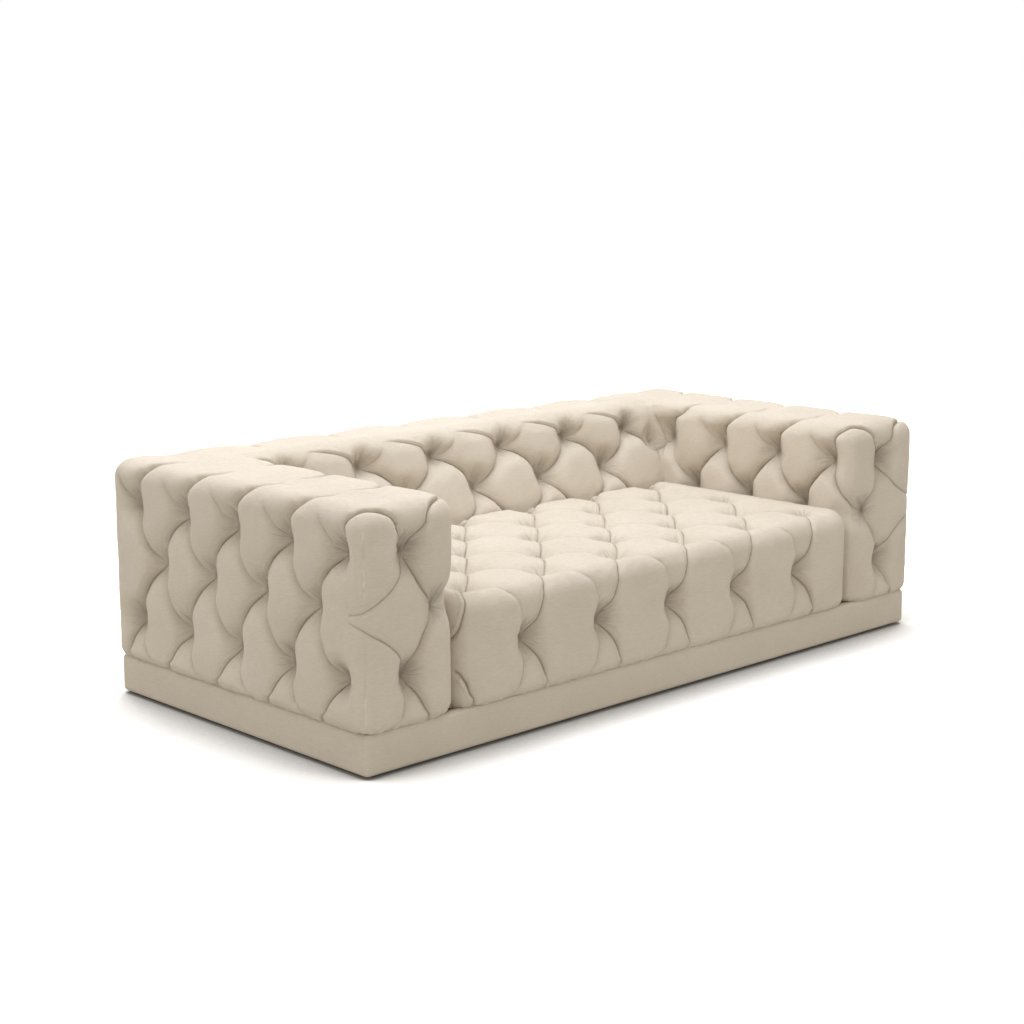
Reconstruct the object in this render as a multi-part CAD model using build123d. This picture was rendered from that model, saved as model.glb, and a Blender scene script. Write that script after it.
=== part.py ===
"""Three-seater tufted sofa: a fabric plinth, two block arms, a tight tufted seat and a tufted back.

Millimetres. +X is the sitter's left-to-right as seen from the front, the front faces -Y, +Z is up.
The origin is on the floor, under the middle of the sofa.
"""
import os
from math import atan, cos, pi, sin, sqrt
from build123d import *

# Overall sizes, over the crowns of the padding
overall_width = 2240
overall_depth = 1084
overall_height = 663
arm_width = 320
seat_height = 405
back_depth = 322
back_recline = 0.35

# Padding: a tufted outer layer over a firm base foam
tufted_layer = 54
base_foam = 16
tuft_depth = 47
fold_depth = 24
top_fold_depth = 12
skirt_roll_height = 30
crown_fullness = 0.5

# Tufts on the outer and inner sides of the arms
side_front_margin = 105
side_rear_margin = 101
side_tuft_gaps = 4
side_row_1 = 538
side_row_2 = 394
side_row_3 = 227
arm_front_pitch = 188
arm_front_tuft = 960

# Tufts on the seat and on the back
seat_pitch = 281.5
seat_front_row = 247
seat_first_row = 105
seat_last_row = 37
seat_row_gaps = 4
back_row_1 = 578
back_row_2 = 473

# Plinth
glide_height = 8
glide_diameter = 40
nail_diameter = 5
nail_length = 30
nail_cover = 3
glide_edge = 2
plinth_height = 101
plinth_overhang = 20
plinth_corner_radius = 25
plinth_fabric = 2
plinth_wadding = 4
plinth_rail_thickness = 24
glide_block = 90
glide_block_height = 60
plinth_cross_spacing = 480
dust_cloth = 1.5

# Frames
board = 22
panel = 4
rail_thickness = 24
seat_rail_height = 126
seat_cross_height = 70
seat_cross_spacing = 480
seat_block = 60
bolt_diameter = 10
bolt_head_diameter = 17
bolt_head_height = 7
bolt_grip = 90
bolt_front_setback = 22
bolt_rear_setback = 44
back_bolt_drop = 66
lag_diameter = 8
lag_length = 75
lag_head_diameter = 14
lag_head_height = 6
lag_setback = 110
lag_middle_shift = 66

# Suspension
wire_diameter = 4
spring_count = 9
spring_width = 52
spring_loop = 80
spring_bend_radius = 16
clip_wall = 2
clip_width = 24
clip_play = 0.2
felt = 6
strap_width = 50
strap_thickness = 2
strap_count = 5

# Play left between soft pieces that meet
soft_clearance = 0.4

half_width = overall_width / 2
half_depth = overall_depth / 2
plinth_top = glide_height + plinth_height
padding = tufted_layer + base_foam
arm_inner = half_width - arm_width
frame_outer = half_width - padding
frame_inner = arm_inner + padding
frame_front = -(half_depth - padding)
frame_rear = half_depth - padding
frame_back = frame_rear - panel
frame_top = overall_height - padding
layer_front = -(half_depth - tufted_layer)
layer_rear = half_depth - tufted_layer
layer_outer = half_width - tufted_layer
layer_inner = arm_inner + tufted_layer
layer_top = overall_height - tufted_layer
arm_crest = (layer_outer + layer_inner) / 2
seat_rail_top = plinth_top + seat_rail_height
spring_axis = seat_rail_top + clip_wall + clip_play / 2 + wire_diameter / 2
deck_top = spring_axis + wire_diameter / 2 + felt
seat_layer_bottom = seat_height - tufted_layer
back_front = half_depth - back_depth
side_first_tuft = -half_depth + side_front_margin
side_pitch = (overall_depth - side_front_margin - side_rear_margin) / side_tuft_gaps
seat_depth = overall_depth - back_depth
seat_row_step = (seat_depth - seat_first_row - seat_last_row) / seat_row_gaps

# The inside of the back leans by its recline, then rolls over the top on an arc
lean = atan(back_recline)
back_edge_y = back_front + (tufted_layer + (layer_top - seat_height) * sin(lean)) / cos(lean)
back_leg_rear = back_front + tufted_layer * cos(lean)
back_leg_break = seat_height - tufted_layer * sin(lean)
back_frame_front = back_edge_y + base_foam / 2
strap_front = back_frame_front - strap_thickness


def block(x0, x1, y0, y1, z0, z1):
    """A rectangular piece between two corners."""
    centre = Vector((x0 + x1) / 2, (y0 + y1) / 2, (z0 + z1) / 2)
    return Pos(centre) * Box(abs(x1 - x0), abs(y1 - y0), abs(z1 - z0))


def upright(x, y, z0, z1, diameter):
    """A round pin standing from z0 to z1."""
    return Pos(x, y, (z0 + z1) / 2) * Cylinder(diameter / 2, abs(z1 - z0))


def crosswise(x0, x1, y, z, diameter):
    """A round pin lying along X."""
    return Pos((x0 + x1) / 2, y, z) * Rot(0, 90, 0) * Cylinder(diameter / 2, abs(x1 - x0))


def prism_along_x(points, x0, x1):
    """A piece of constant section, from (y, z) points, running along X."""
    outline = Wire.make_polygon([Vector(x0, y, z) for y, z in points])
    return Solid.extrude(Face(outline), Vector(x1 - x0, 0, 0))


def prism_up(points, z0, z1):
    """A piece of constant section, from (x, y) points, standing from z0 to z1."""
    outline = Wire.make_polygon([Vector(x, y, z0) for x, y in points])
    return Solid.extrude(Face(outline), Vector(0, 0, z1 - z0))


def save(name, *solids):
    """Writes one node, of one solid or of a group of separate solids."""
    pieces = [solid for shape in solids for solid in shape.solids()]
    shape = pieces[0] if len(pieces) == 1 else Compound(children=pieces)
    export_step(shape, f"parts/{name}.step")


def spread(first, last, steps):
    """Evenly spaced values from first to last."""
    return [first + (last - first) * i / steps for i in range(steps + 1)]


def row_number(level, rows):
    """Counts tuft rows along a face: whole numbers on the rows, going on at the same rate beyond."""
    i = 0
    while i < len(rows) - 2 and (rows[i + 1] - level) * (rows[1] - rows[0]) < 0:
        i += 1
    return i + (level - rows[i]) / (rows[i + 1] - rows[i])


def diamond_dip(u, r, pull=1.0):
    """How far the cloth lies below the crowns. The folds cross in tufts at whole u + r/2 and u - r/2."""
    a = u + r / 2
    b = u - r / 2
    crown = abs(sin(pi * a) * sin(pi * b)) ** crown_fullness
    tuft = (cos(pi * a) * cos(pi * b)) ** 4
    return fold_depth * (1 - crown) + (tuft_depth - fold_depth) * tuft * pull


def over_edge_dip(u, share):
    """Above the first row of an arm the fold runs straight over the top, and grows shallow on the way."""
    depth = fold_depth + (top_fold_depth - fold_depth) * share
    tuft = cos(pi * u) ** 8 * (1 - share) ** 2
    return depth * (1 - abs(sin(pi * u))) + (tuft_depth - depth) * tuft


def skirt_roll(z):
    """The padding rolls in to the plinth face over its lowest stretch."""
    drop = max(0.0, 1 - (z - plinth_top) / skirt_roll_height)
    return plinth_overhang * (1 - sqrt(1 - min(1.0, drop) ** 2))


def quilted(sections):
    """A tufted layer: a ruled skin through closed outlines."""
    return Solid.make_loft([Wire.make_polygon(points) for points in sections], ruled=True)


def stations(first, last, tuft, pitch):
    """Places along a tufted layer: both ends, and every quarter pitch of the tufts between them."""
    step = pitch / 4
    count = int((last - first) / step) + 2
    offset = (first - tuft) / step
    places = [tuft + step * (int(offset // 1) + i) for i in range(count + 1)]
    margin = step / 3
    return [first] + [place for place in places if first + margin < place < last - margin] + [last]


# Arm padding, described for the right arm: the outer side, the top and the inner side as one path
side_rows = [side_row_1, side_row_2, side_row_3]
edge_length = layer_top - side_row_1 + tufted_layer * pi / 2
arc_angles = spread(0, pi / 2, 3)
leg_heights = spread(plinth_top, side_row_3, 2)[:-1]
leg_heights += spread(side_row_3, side_row_2, 2)[:-1]
leg_heights += spread(side_row_2, side_row_1, 2)


def edge_share(angle):
    """How far over the top edge a place on its arc lies, from 0 at the first tuft row to 1 on top."""
    return (layer_top - side_row_1 + tufted_layer * angle) / edge_length


def arm_outer_path():
    """Places up the outer side and round the top edge: x, z, outward x and z, row, share over the edge."""
    path = []
    for z in leg_heights:
        path.append((half_width - skirt_roll(z), z, 1, 0, row_number(z, side_rows), 0))
    for angle in arc_angles:
        x = layer_outer + tufted_layer * cos(angle)
        z = layer_top + tufted_layer * sin(angle)
        path.append((x, z, cos(angle), sin(angle), 0, edge_share(angle)))
    return path


def arm_inner_path():
    """Places round the inner top edge and down to the seat deck."""
    path = []
    for angle in reversed(arc_angles):
        x = layer_inner - tufted_layer * cos(angle)
        z = layer_top + tufted_layer * sin(angle)
        path.append((x, z, -cos(angle), sin(angle), 0, edge_share(angle)))
    heights = spread(side_row_1, side_row_2, 2)
    heights += spread(side_row_2, deck_top, 2)[1:]
    for z in heights:
        path.append((arm_inner, z, -1, 0, row_number(z, side_rows), 0))
    return path


def arm_layer(side, y0, y1, path, inside):
    """A tufted layer along an arm: the cloth line with its tufts and folds pressed in, closed by inside."""
    sections = []
    for y in stations(y0, y1, side_first_tuft, side_pitch):
        u = (y - side_first_tuft) / side_pitch
        line = []
        for x, z, out_x, out_z, row, share in path:
            dip = over_edge_dip(u, share) if share > 0 else diamond_dip(u, row)
            line.append(Vector(side * (x - out_x * dip), y, z - out_z * dip))
        sections.append(line + [Vector(side * x, y, z) for x, z in inside])
    return quilted(sections)


def arm_cover(side):
    """Outer side, top and inner side of an arm, from its front edge to the webbing of the back."""
    path = arm_outer_path() + [(arm_crest, overall_height, 0, 1, 0, 1)] + arm_inner_path()
    inside = [(layer_inner, deck_top), (layer_inner, layer_top), (layer_outer, layer_top)]
    inside.append((layer_outer, plinth_top))
    return arm_layer(side, layer_front + soft_clearance, strap_front, path, inside)


def corner_cover(side):
    """Outer side and top where an arm runs on past the back."""
    path = arm_outer_path()
    path += [(arm_crest, overall_height, 0, 1, 0, 1), (arm_inner, overall_height, 0, 1, 0, 1)]
    inside = [(arm_inner, layer_top), (layer_outer, layer_top), (layer_outer, plinth_top)]
    return arm_layer(side, strap_front + soft_clearance, layer_rear - soft_clearance, path, inside)


def end_panel(x0, x1, y_flat, facing, pitch, tuft_x):
    """A flat-backed tufted panel, rolled at both sides and at the top."""
    heights = leg_heights + [layer_top + tufted_layer * sin(angle) for angle in spread(0, pi * 0.45, 3)]
    centre = (x0 + x1) / 2
    half = (x1 - x0) / 2
    roll = [tufted_layer * (1 - cos(angle)) for angle in arc_angles]
    columns = [x0 + inset for inset in roll[:-1]]
    columns += stations(x0 + tufted_layer, x1 - tufted_layer, tuft_x, pitch)
    columns += [x1 - inset for inset in reversed(roll[:-1])]
    sections = []
    for z in heights:
        rise = max(0.0, (z - layer_top) / tufted_layer)
        inset = tufted_layer * (1 - sqrt(1 - rise * rise))
        share = max(0.0, (z - side_row_1) / edge_length)
        line = []
        for column in columns:
            x = centre + (column - centre) * (half - inset) / half
            run = max(0.0, 1 - min(x - x0, x1 - x) / tufted_layer)
            fullness = sqrt(max(0.0, 1 - run * run - rise * rise))
            u = (x - tuft_x) / pitch
            dip = over_edge_dip(u, share) if share > 0 else diamond_dip(u, row_number(z, side_rows))
            reach = (tufted_layer - dip - skirt_roll(z)) * fullness
            line.append(Vector(x, y_flat + facing * reach, z))
        sections.append(line)
    return quilted(sections)


def seat_cover():
    """Front and top of the seat as one layer between the arms."""
    first = -half_depth + seat_first_row
    rear = back_front - soft_clearance
    roll_length = seat_layer_bottom - seat_front_row + tufted_layer * pi / 2 + seat_first_row - tufted_layer
    path = []
    heights = spread(plinth_top, seat_front_row, 2)
    for z in heights:
        path.append((-half_depth + skirt_roll(z), z, -1, 0, (z - seat_front_row) / roll_length))
    for angle in arc_angles:
        y = layer_front - tufted_layer * cos(angle)
        z = seat_layer_bottom + tufted_layer * sin(angle)
        row = (seat_layer_bottom - seat_front_row + tufted_layer * angle) / roll_length
        path.append((y, z, -cos(angle), sin(angle), row))
    for y in stations(first, rear, first, 2 * seat_row_step):
        path.append((y, seat_height, 0, 1, 1 + (y - first) / seat_row_step))
    inside = [(rear, seat_layer_bottom), (layer_front, seat_layer_bottom), (layer_front, plinth_top)]
    sections = []
    side = arm_inner - soft_clearance
    for x in stations(-side, side, 0, seat_pitch):
        line = []
        for y, z, out_y, out_z, row in path:
            dip = diamond_dip(x / seat_pitch, row)
            line.append(Vector(x, y - out_y * dip, z - out_z * dip))
        sections.append(line + [Vector(x, y, z) for y, z in inside])
    return quilted(sections)


def back_cover():
    """Inside and top of the back as one layer between the arms."""
    rows = [back_row_1, back_row_2]
    row_step = back_row_1 - back_row_2
    lean_top = layer_top + tufted_layer * sin(lean)
    rear = layer_rear - soft_clearance
    path = [(back_front, seat_height, -cos(lean), sin(lean), row_number(seat_height, rows), 1)]
    for z in spread(back_row_2, back_row_1, 2):
        y = back_front + (z - seat_height) * back_recline
        path.append((y, z, -cos(lean), sin(lean), row_number(z, rows), 1))
    for angle in spread(lean, pi / 2, 3):
        y = back_edge_y - tufted_layer * cos(angle)
        z = layer_top + tufted_layer * sin(angle)
        row = max(-1.0, -(lean_top - back_row_1 + tufted_layer * (angle - lean)) / row_step)
        path.append((y, z, -cos(angle), sin(angle), row, 1 + row))
    path.append((rear, overall_height, 0, 1, -1, 0))
    inside = [(rear, layer_top), (back_edge_y, layer_top), (back_leg_rear, back_leg_break)]
    inside += [(back_leg_rear, deck_top), (back_front, deck_top)]
    sections = []
    side = arm_inner - soft_clearance
    for x in stations(-side, side, 0, seat_pitch):
        u = x / seat_pitch + 0.5
        line = []
        for y, z, out_y, out_z, row, pull in path:
            dip = diamond_dip(u, row, pull)
            if row == -1:
                dip = top_fold_depth * (1 - abs(cos(pi * u)))
            line.append(Vector(x, y - out_y * dip, z - out_z * dip))
        sections.append(line + [Vector(x, y, z) for y, z in inside])
    return quilted(sections)


def zigzag_spring(x):
    """One sinuous spring: a wire that snakes from the front rail to the rear rail."""
    half = spring_width / 2
    front = frame_front + rail_thickness / 2
    rear = back_frame_front - rail_thickness / 2
    turns = int((rear - front) / spring_loop) * 2
    step = (rear - front) / turns
    points = [(x - half, front)]
    for i in range(turns + 1):
        side = half if i % 2 == 0 else -half
        points.append((x + side, front + step * i))
        if i < turns:
            points.append((x + side, front + step * (i + 1)))
    points = [Vector(px, py, spring_axis) for px, py in points]
    path = FilletPolyline(*points, radius=spring_bend_radius)
    start = Plane(origin=points[0], z_dir=points[1] - points[0])
    return sweep(start * Circle(wire_diameter / 2), path)


def spring_clip(x, y, facing):
    """A folded steel clip that holds the end run of a spring on its rail."""
    throat = wire_diameter + clip_play
    reach = throat / 2 + clip_wall
    outer = block(x - clip_width / 2, x + clip_width / 2, y - facing * reach, y + facing * reach,
                  seat_rail_top, seat_rail_top + throat + 2 * clip_wall)
    mouth = block(x - clip_width, x + clip_width, y - facing * throat / 2, y + facing * 2 * reach,
                  seat_rail_top + clip_wall, seat_rail_top + clip_wall + throat)
    return outer - mouth


def bolt_along_x(x_head, direction, y, z):
    """A bolt with its round head at x_head, its shank going into the frame along X."""
    head = crosswise(x_head - direction * bolt_head_height, x_head, y, z, bolt_head_diameter)
    shank = crosswise(x_head, x_head + direction * bolt_grip, y, z, bolt_diameter)
    return head + shank


def lag_screw(x, y):
    """A coach screw that pulls a frame down on the plinth."""
    seat = plinth_top + board
    head = upright(x, y, seat, seat + lag_head_height, lag_head_diameter)
    return head + upright(x, y, seat - lag_length, seat, lag_diameter)


def drilled(piece, holes):
    """A piece with its fastener holes cut."""
    for hole in holes:
        piece = piece - hole
    return piece


def upright_box(half_x, half_y, radius, z0, z1):
    """An upright block with rounded vertical corners, centred on the sofa."""
    return extrude(Pos(0, 0, z0) * RectangleRounded(2 * half_x, 2 * half_y, radius), z1 - z0)


def fillet_foot(glide):
    """A glide with its floor edge rounded."""
    return fillet(glide.edges().group_by(Axis.Z)[0].sort_by(SortBy.LENGTH)[-1], glide_edge)


os.makedirs("parts", exist_ok=True)

# Places of the bolts and coach screws that hold the frames together
side_rail_inner = frame_inner - rail_thickness
arm_middle = (frame_outer + frame_inner) / 2
bolt_level = plinth_top + board / 2
bolt_front = frame_front + rail_thickness + bolt_front_setback
bolt_rear = back_frame_front - rail_thickness - bolt_rear_setback
bolt_ys = [bolt_front, 0, bolt_rear]
back_bolt_y = frame_back - board / 2
back_bolt_levels = spread(seat_rail_top, frame_top - back_bolt_drop, 2)
lag_ys = [frame_front + lag_setback, -lag_middle_shift, frame_back - lag_setback]
arm_bolts = []
back_bolts = []
lag_screws = []
for side in (-1, 1):
    arm_bolts += [bolt_along_x(side * side_rail_inner, side, y, bolt_level) for y in bolt_ys]
    back_bolts += [bolt_along_x(side * side_rail_inner, side, back_bolt_y, z) for z in back_bolt_levels]
    lag_screws += [lag_screw(side * arm_middle, y) for y in lag_ys]
save("arm_bolts", *arm_bolts)
save("back_bolts", *back_bolts)
save("plinth_coach_screws", *lag_screws)

# Plinth: a box of boards, wadding and a fabric band, on glides, closed underneath by a dust cloth
fabric_x = half_width - plinth_overhang
fabric_y = half_depth - plinth_overhang
wadding_x = fabric_x - plinth_fabric
wadding_y = fabric_y - plinth_fabric
timber_x = wadding_x - plinth_wadding
timber_y = wadding_y - plinth_wadding
timber_bottom = glide_height + dust_cloth
wadding_radius = plinth_corner_radius - plinth_fabric
timber_radius = wadding_radius - plinth_wadding
rail_x = timber_x - plinth_rail_thickness
rail_y = timber_y - plinth_rail_thickness
arm_cross_outer = arm_middle + plinth_rail_thickness / 2
corner_block = rail_x - arm_cross_outer
glide_places = []
corner_glide_x = arm_cross_outer + corner_block / 2
for x, width in ((corner_glide_x, corner_block), (plinth_cross_spacing / 2, glide_block)):
    for y in (rail_y - glide_block / 2, glide_block / 2 - rail_y):
        glide_places += [(x, y, width), (-x, y, width)]
nails = [upright(x, y, nail_cover, nail_cover + nail_length, nail_diameter) for x, y, width in glide_places]

fabric_box = upright_box(fabric_x, fabric_y, plinth_corner_radius, glide_height, plinth_top)
wadding_box = upright_box(wadding_x, wadding_y, wadding_radius, glide_height, plinth_top)
timber_box = upright_box(timber_x, timber_y, timber_radius, glide_height, plinth_top)
timber = timber_box & block(-timber_x, timber_x, -timber_y, timber_y, timber_bottom, plinth_top)
save("plinth_cover", fabric_box - wadding_box)
save("plinth_wadding", wadding_box - timber_box)
save("plinth_front_rail", timber & block(-timber_x, timber_x, -timber_y, -rail_y, glide_height, plinth_top))
save("plinth_rear_rail", timber & block(-timber_x, timber_x, rail_y, timber_y, glide_height, plinth_top))
save("plinth_left_rail", block(-timber_x, -rail_x, -rail_y, rail_y, timber_bottom, plinth_top))
save("plinth_right_rail", block(rail_x, timber_x, -rail_y, rail_y, timber_bottom, plinth_top))
cross_rails = []
for x in (-arm_middle, -plinth_cross_spacing, 0, plinth_cross_spacing, arm_middle):
    half = plinth_rail_thickness / 2
    rail = block(x - half, x + half, -rail_y, rail_y, timber_bottom, plinth_top)
    cross_rails.append(drilled(rail, lag_screws))
save("plinth_cross_rails", *cross_rails)
glide_blocks = []
block_top = timber_bottom + glide_block_height
for x, y, width in glide_places:
    half = glide_block / 2
    piece = block(x - width / 2, x + width / 2, y - half, y + half, timber_bottom, block_top)
    glide_blocks.append(drilled(piece, nails))
save("plinth_glide_blocks", *glide_blocks)
cloth = timber_box & block(-timber_x, timber_x, -timber_y, timber_y, glide_height, timber_bottom)
save("dust_cover", drilled(cloth, nails))
glides = [upright(x, y, 0, glide_height, glide_diameter) for x, y, width in glide_places]
save("floor_glides", *[fillet_foot(drilled(glide, nails)) for glide in glides])
save("glide_nails", *nails)

# Arms: a boxed frame of boards and panels, a foam jacket, and the tufted layer in three pieces
for side, hand in ((-1, "left"), (1, "right")):
    core_outer = frame_outer - panel
    core_inner = frame_inner + panel

    def arm_piece(x0, x1, y0, y1, z0, z1):
        """A piece of this arm, with X counted outwards from the middle of the sofa."""
        return block(side * x0, side * x1, y0, y1, z0, z1)

    rails_front = frame_front + board
    rails_back = frame_back - board
    front_post = arm_piece(core_inner, core_outer, frame_front, rails_front, plinth_top, frame_top)
    rear_post = arm_piece(core_inner, core_outer, rails_back, frame_back, plinth_top, frame_top)
    middle_post = arm_piece(core_inner, core_outer, -board / 2, board / 2,
                            plinth_top + board, frame_top - board)
    bottom_rail = arm_piece(core_inner, core_outer, rails_front, rails_back, plinth_top, plinth_top + board)
    top_rail = arm_piece(core_inner, core_outer, rails_front, rails_back, frame_top - board, frame_top)
    outer_panel = arm_piece(core_outer, frame_outer, frame_front, frame_back, plinth_top, frame_top)
    inner_panel = arm_piece(frame_inner, core_inner, frame_front, frame_back, plinth_top, frame_top)
    save(f"{hand}_arm_front_post", front_post)
    save(f"{hand}_arm_rear_post", drilled(rear_post, back_bolts))
    save(f"{hand}_arm_middle_post", middle_post)
    save(f"{hand}_arm_bottom_rail", drilled(bottom_rail, arm_bolts + lag_screws))
    save(f"{hand}_arm_top_rail", top_rail)
    save(f"{hand}_arm_outer_panel", outer_panel)
    save(f"{hand}_arm_inner_panel", drilled(inner_panel, arm_bolts + back_bolts))

    jacket = arm_piece(layer_inner, layer_outer, layer_front, frame_rear, plinth_top, layer_top)
    jacket = jacket - arm_piece(frame_inner, frame_outer, frame_front, frame_rear, plinth_top, frame_top)
    under_deck = arm_piece(layer_inner, frame_inner, frame_front, frame_rear, plinth_top, deck_top)
    behind_back = arm_piece(layer_inner, frame_inner, strap_front, frame_rear, plinth_top, frame_top)
    save(f"{hand}_arm_foam", jacket - under_deck - behind_back)
    save(f"{hand}_arm_cover", arm_cover(side))
    save(f"{hand}_corner_cover", corner_cover(side))
    x0, x1 = sorted((side * arm_inner, side * half_width))
    front = end_panel(x0, x1, layer_front, -1, arm_front_pitch, side * arm_front_tuft)
    save(f"{hand}_arm_front_cover", front)

# Seat frame: four rails and two stretchers between the arms, with blocks in the corners
front_rail = block(-frame_inner, frame_inner, frame_front, frame_front + rail_thickness,
                   plinth_top, seat_rail_top)
rear_rail = block(-frame_inner, frame_inner, back_frame_front - rail_thickness, back_frame_front,
                  plinth_top, seat_rail_top)
bay_front = frame_front + rail_thickness
bay_rear = back_frame_front - rail_thickness
left_rail = block(-frame_inner, -side_rail_inner, bay_front, bay_rear, plinth_top, seat_rail_top)
right_rail = block(side_rail_inner, frame_inner, bay_front, bay_rear, plinth_top, seat_rail_top)
stretchers = []
for x in (-seat_cross_spacing, seat_cross_spacing):
    half = rail_thickness / 2
    stretcher_top = plinth_top + seat_cross_height
    stretchers.append(block(x - half, x + half, bay_front, bay_rear, plinth_top, stretcher_top))
corner_blocks = []
for x in (-side_rail_inner, side_rail_inner):
    for y in (bay_front, bay_rear):
        in_x = x - seat_block if x > 0 else x + seat_block
        in_y = y + seat_block if y < 0 else y - seat_block
        corner = prism_up([(x, y), (in_x, y), (x, in_y)], seat_rail_top - seat_block, seat_rail_top)
        corner_blocks.append(corner)
save("seat_front_rail", front_rail)
save("seat_rear_rail", rear_rail)
save("seat_left_rail", drilled(left_rail, arm_bolts))
save("seat_right_rail", drilled(right_rail, arm_bolts))
save("seat_stretchers", *stretchers)
save("seat_corner_blocks", *corner_blocks)

# Seat suspension, padding and tufted layer
spring_pitch = 2 * side_rail_inner / spring_count
spring_xs = [-side_rail_inner + spring_pitch * (i + 0.5) for i in range(spring_count)]
clip_front = frame_front + rail_thickness / 2
clip_rear = back_frame_front - rail_thickness / 2
save("seat_springs", *[zigzag_spring(x) for x in spring_xs])
clips = [spring_clip(x, clip_front, 1) for x in spring_xs]
clips += [spring_clip(x, clip_rear, -1) for x in spring_xs]
save("spring_clips", *clips)
felt_pad = block(-side_rail_inner, side_rail_inner, bay_front, bay_rear, deck_top - felt, deck_top)
save("spring_felt", felt_pad)
seat_side = arm_inner - soft_clearance
seat_rear = back_front - soft_clearance
foam_outline = [(layer_front, plinth_top), (layer_front, seat_layer_bottom), (seat_rear, seat_layer_bottom)]
foam_outline += [(seat_rear, deck_top), (frame_front, deck_top), (frame_front, plinth_top)]
save("seat_foam", prism_along_x(foam_outline, -seat_side, seat_side))
save("seat_cover", seat_cover())

# Back: a boxed frame between the arms, webbing, a wedge of foam and the tufted layer
stile_half = rail_thickness / 2
back_bottom = block(-side_rail_inner, side_rail_inner, back_frame_front, frame_back,
                    plinth_top, plinth_top + board)
back_top = block(-side_rail_inner, side_rail_inner, back_frame_front, frame_back,
                 frame_top - board, frame_top)
end_posts = []
for side in (-1, 1):
    post = block(side * side_rail_inner, side * frame_inner, back_frame_front, frame_back,
                 plinth_top, frame_top)
    end_posts.append(drilled(post, back_bolts))
stiles = []
for x in (-seat_cross_spacing, 0, seat_cross_spacing):
    stiles.append(block(x - stile_half, x + stile_half, back_frame_front, frame_back,
                        plinth_top + board, frame_top - board))
strap_levels = spread(deck_top + strap_width, frame_top - strap_width, strap_count - 1)
straps = []
for z in strap_levels:
    straps.append(block(-frame_inner, frame_inner, strap_front, back_frame_front,
                        z - strap_width / 2, z + strap_width / 2))
save("back_bottom_rail", back_bottom)
save("back_top_rail", back_top)
save("back_end_posts", *end_posts)
save("back_stiles", *stiles)
save("back_webbing", *straps)
save("back_rear_panel", block(-frame_outer, frame_outer, frame_back, frame_rear, plinth_top, frame_top))
wedge = [(back_leg_rear, deck_top), (back_leg_rear, back_leg_break), (back_edge_y, layer_top)]
wedge += [(frame_rear, layer_top), (frame_rear, frame_top)]
wedge += [(strap_front, frame_top), (strap_front, deck_top)]
save("back_foam", prism_along_x(wedge, -seat_side, seat_side))
save("back_cover", back_cover())
save("back_rear_foam", block(-layer_outer, layer_outer, frame_rear, layer_rear, plinth_top, layer_top))
save("back_outside_cover", end_panel(-half_width, half_width, layer_rear, 1, seat_pitch, 0))
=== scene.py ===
from math import pi, radians, sqrt
import bpy
import numpy as np
from mathutils.kdtree import KDTree
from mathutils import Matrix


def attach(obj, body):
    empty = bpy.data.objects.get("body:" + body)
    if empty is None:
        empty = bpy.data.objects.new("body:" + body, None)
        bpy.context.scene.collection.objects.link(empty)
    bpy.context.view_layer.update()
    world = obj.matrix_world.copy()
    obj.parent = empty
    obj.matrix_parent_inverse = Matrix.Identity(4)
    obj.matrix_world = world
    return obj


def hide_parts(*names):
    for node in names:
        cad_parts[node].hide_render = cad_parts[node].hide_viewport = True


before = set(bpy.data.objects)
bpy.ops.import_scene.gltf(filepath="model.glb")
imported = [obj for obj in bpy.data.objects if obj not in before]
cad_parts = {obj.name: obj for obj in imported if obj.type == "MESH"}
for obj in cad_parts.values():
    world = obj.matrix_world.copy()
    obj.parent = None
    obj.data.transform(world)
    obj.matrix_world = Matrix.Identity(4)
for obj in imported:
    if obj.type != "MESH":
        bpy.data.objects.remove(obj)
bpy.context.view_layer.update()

# Plinth boards: planed softwood, glued and screwed into a low box under the whole sofa. The blocks in its
# corners take the glides, and the cross rails under the arms and the seat take the coach screws.


def new_material(name):
    """A material, with its node tree and its Principled shader."""
    material = bpy.data.materials.new(name)
    material.use_nodes = True
    tree = material.node_tree
    shader = tree.nodes["Principled BSDF"]
    return material, tree, shader


def add_node(tree, kind, links=(), **settings):
    """Adds one node. links pairs an input with the output that feeds it, or with a plain value."""
    node = tree.nodes.new(kind)
    for key, value in settings.items():
        setattr(node, key, value)
    for socket, source in links:
        if isinstance(source, bpy.types.NodeSocket):
            tree.links.new(source, node.inputs[socket])
        else:
            node.inputs[socket].default_value = source
    return node


def stretched_noise(tree, stretch, scale, detail=4.0, roughness=0.6):
    """Noise on object coordinates, drawn out by a different amount along each axis."""
    place = add_node(tree, "ShaderNodeTexCoord")
    mapping = add_node(tree, "ShaderNodeMapping", [("Vector", place.outputs["Object"])])
    mapping.inputs["Scale"].default_value = stretch
    noise = add_node(tree, "ShaderNodeTexNoise", [("Vector", mapping.outputs[0]), ("Scale", scale),
                                                  ("Detail", detail), ("Roughness", roughness)])
    return noise


def two_tone(tree, factor, low, high, start=0.3, stop=0.7):
    """A colour that runs from one tone to another with a pattern."""
    ramp = add_node(tree, "ShaderNodeValToRGB", [("Fac", factor)])
    ramp.color_ramp.elements[0].position = start
    ramp.color_ramp.elements[0].color = (*low, 1.0)
    ramp.color_ramp.elements[1].position = stop
    ramp.color_ramp.elements[1].color = (*high, 1.0)
    return ramp.outputs["Color"]


def bumped(tree, shader, height, distance):
    """Raises a pattern out of the surface."""
    bump = add_node(tree, "ShaderNodeBump", [("Height", height), ("Distance", distance), ("Strength", 1.0)])
    tree.links.new(bump.outputs[0], shader.inputs["Normal"])


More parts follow.
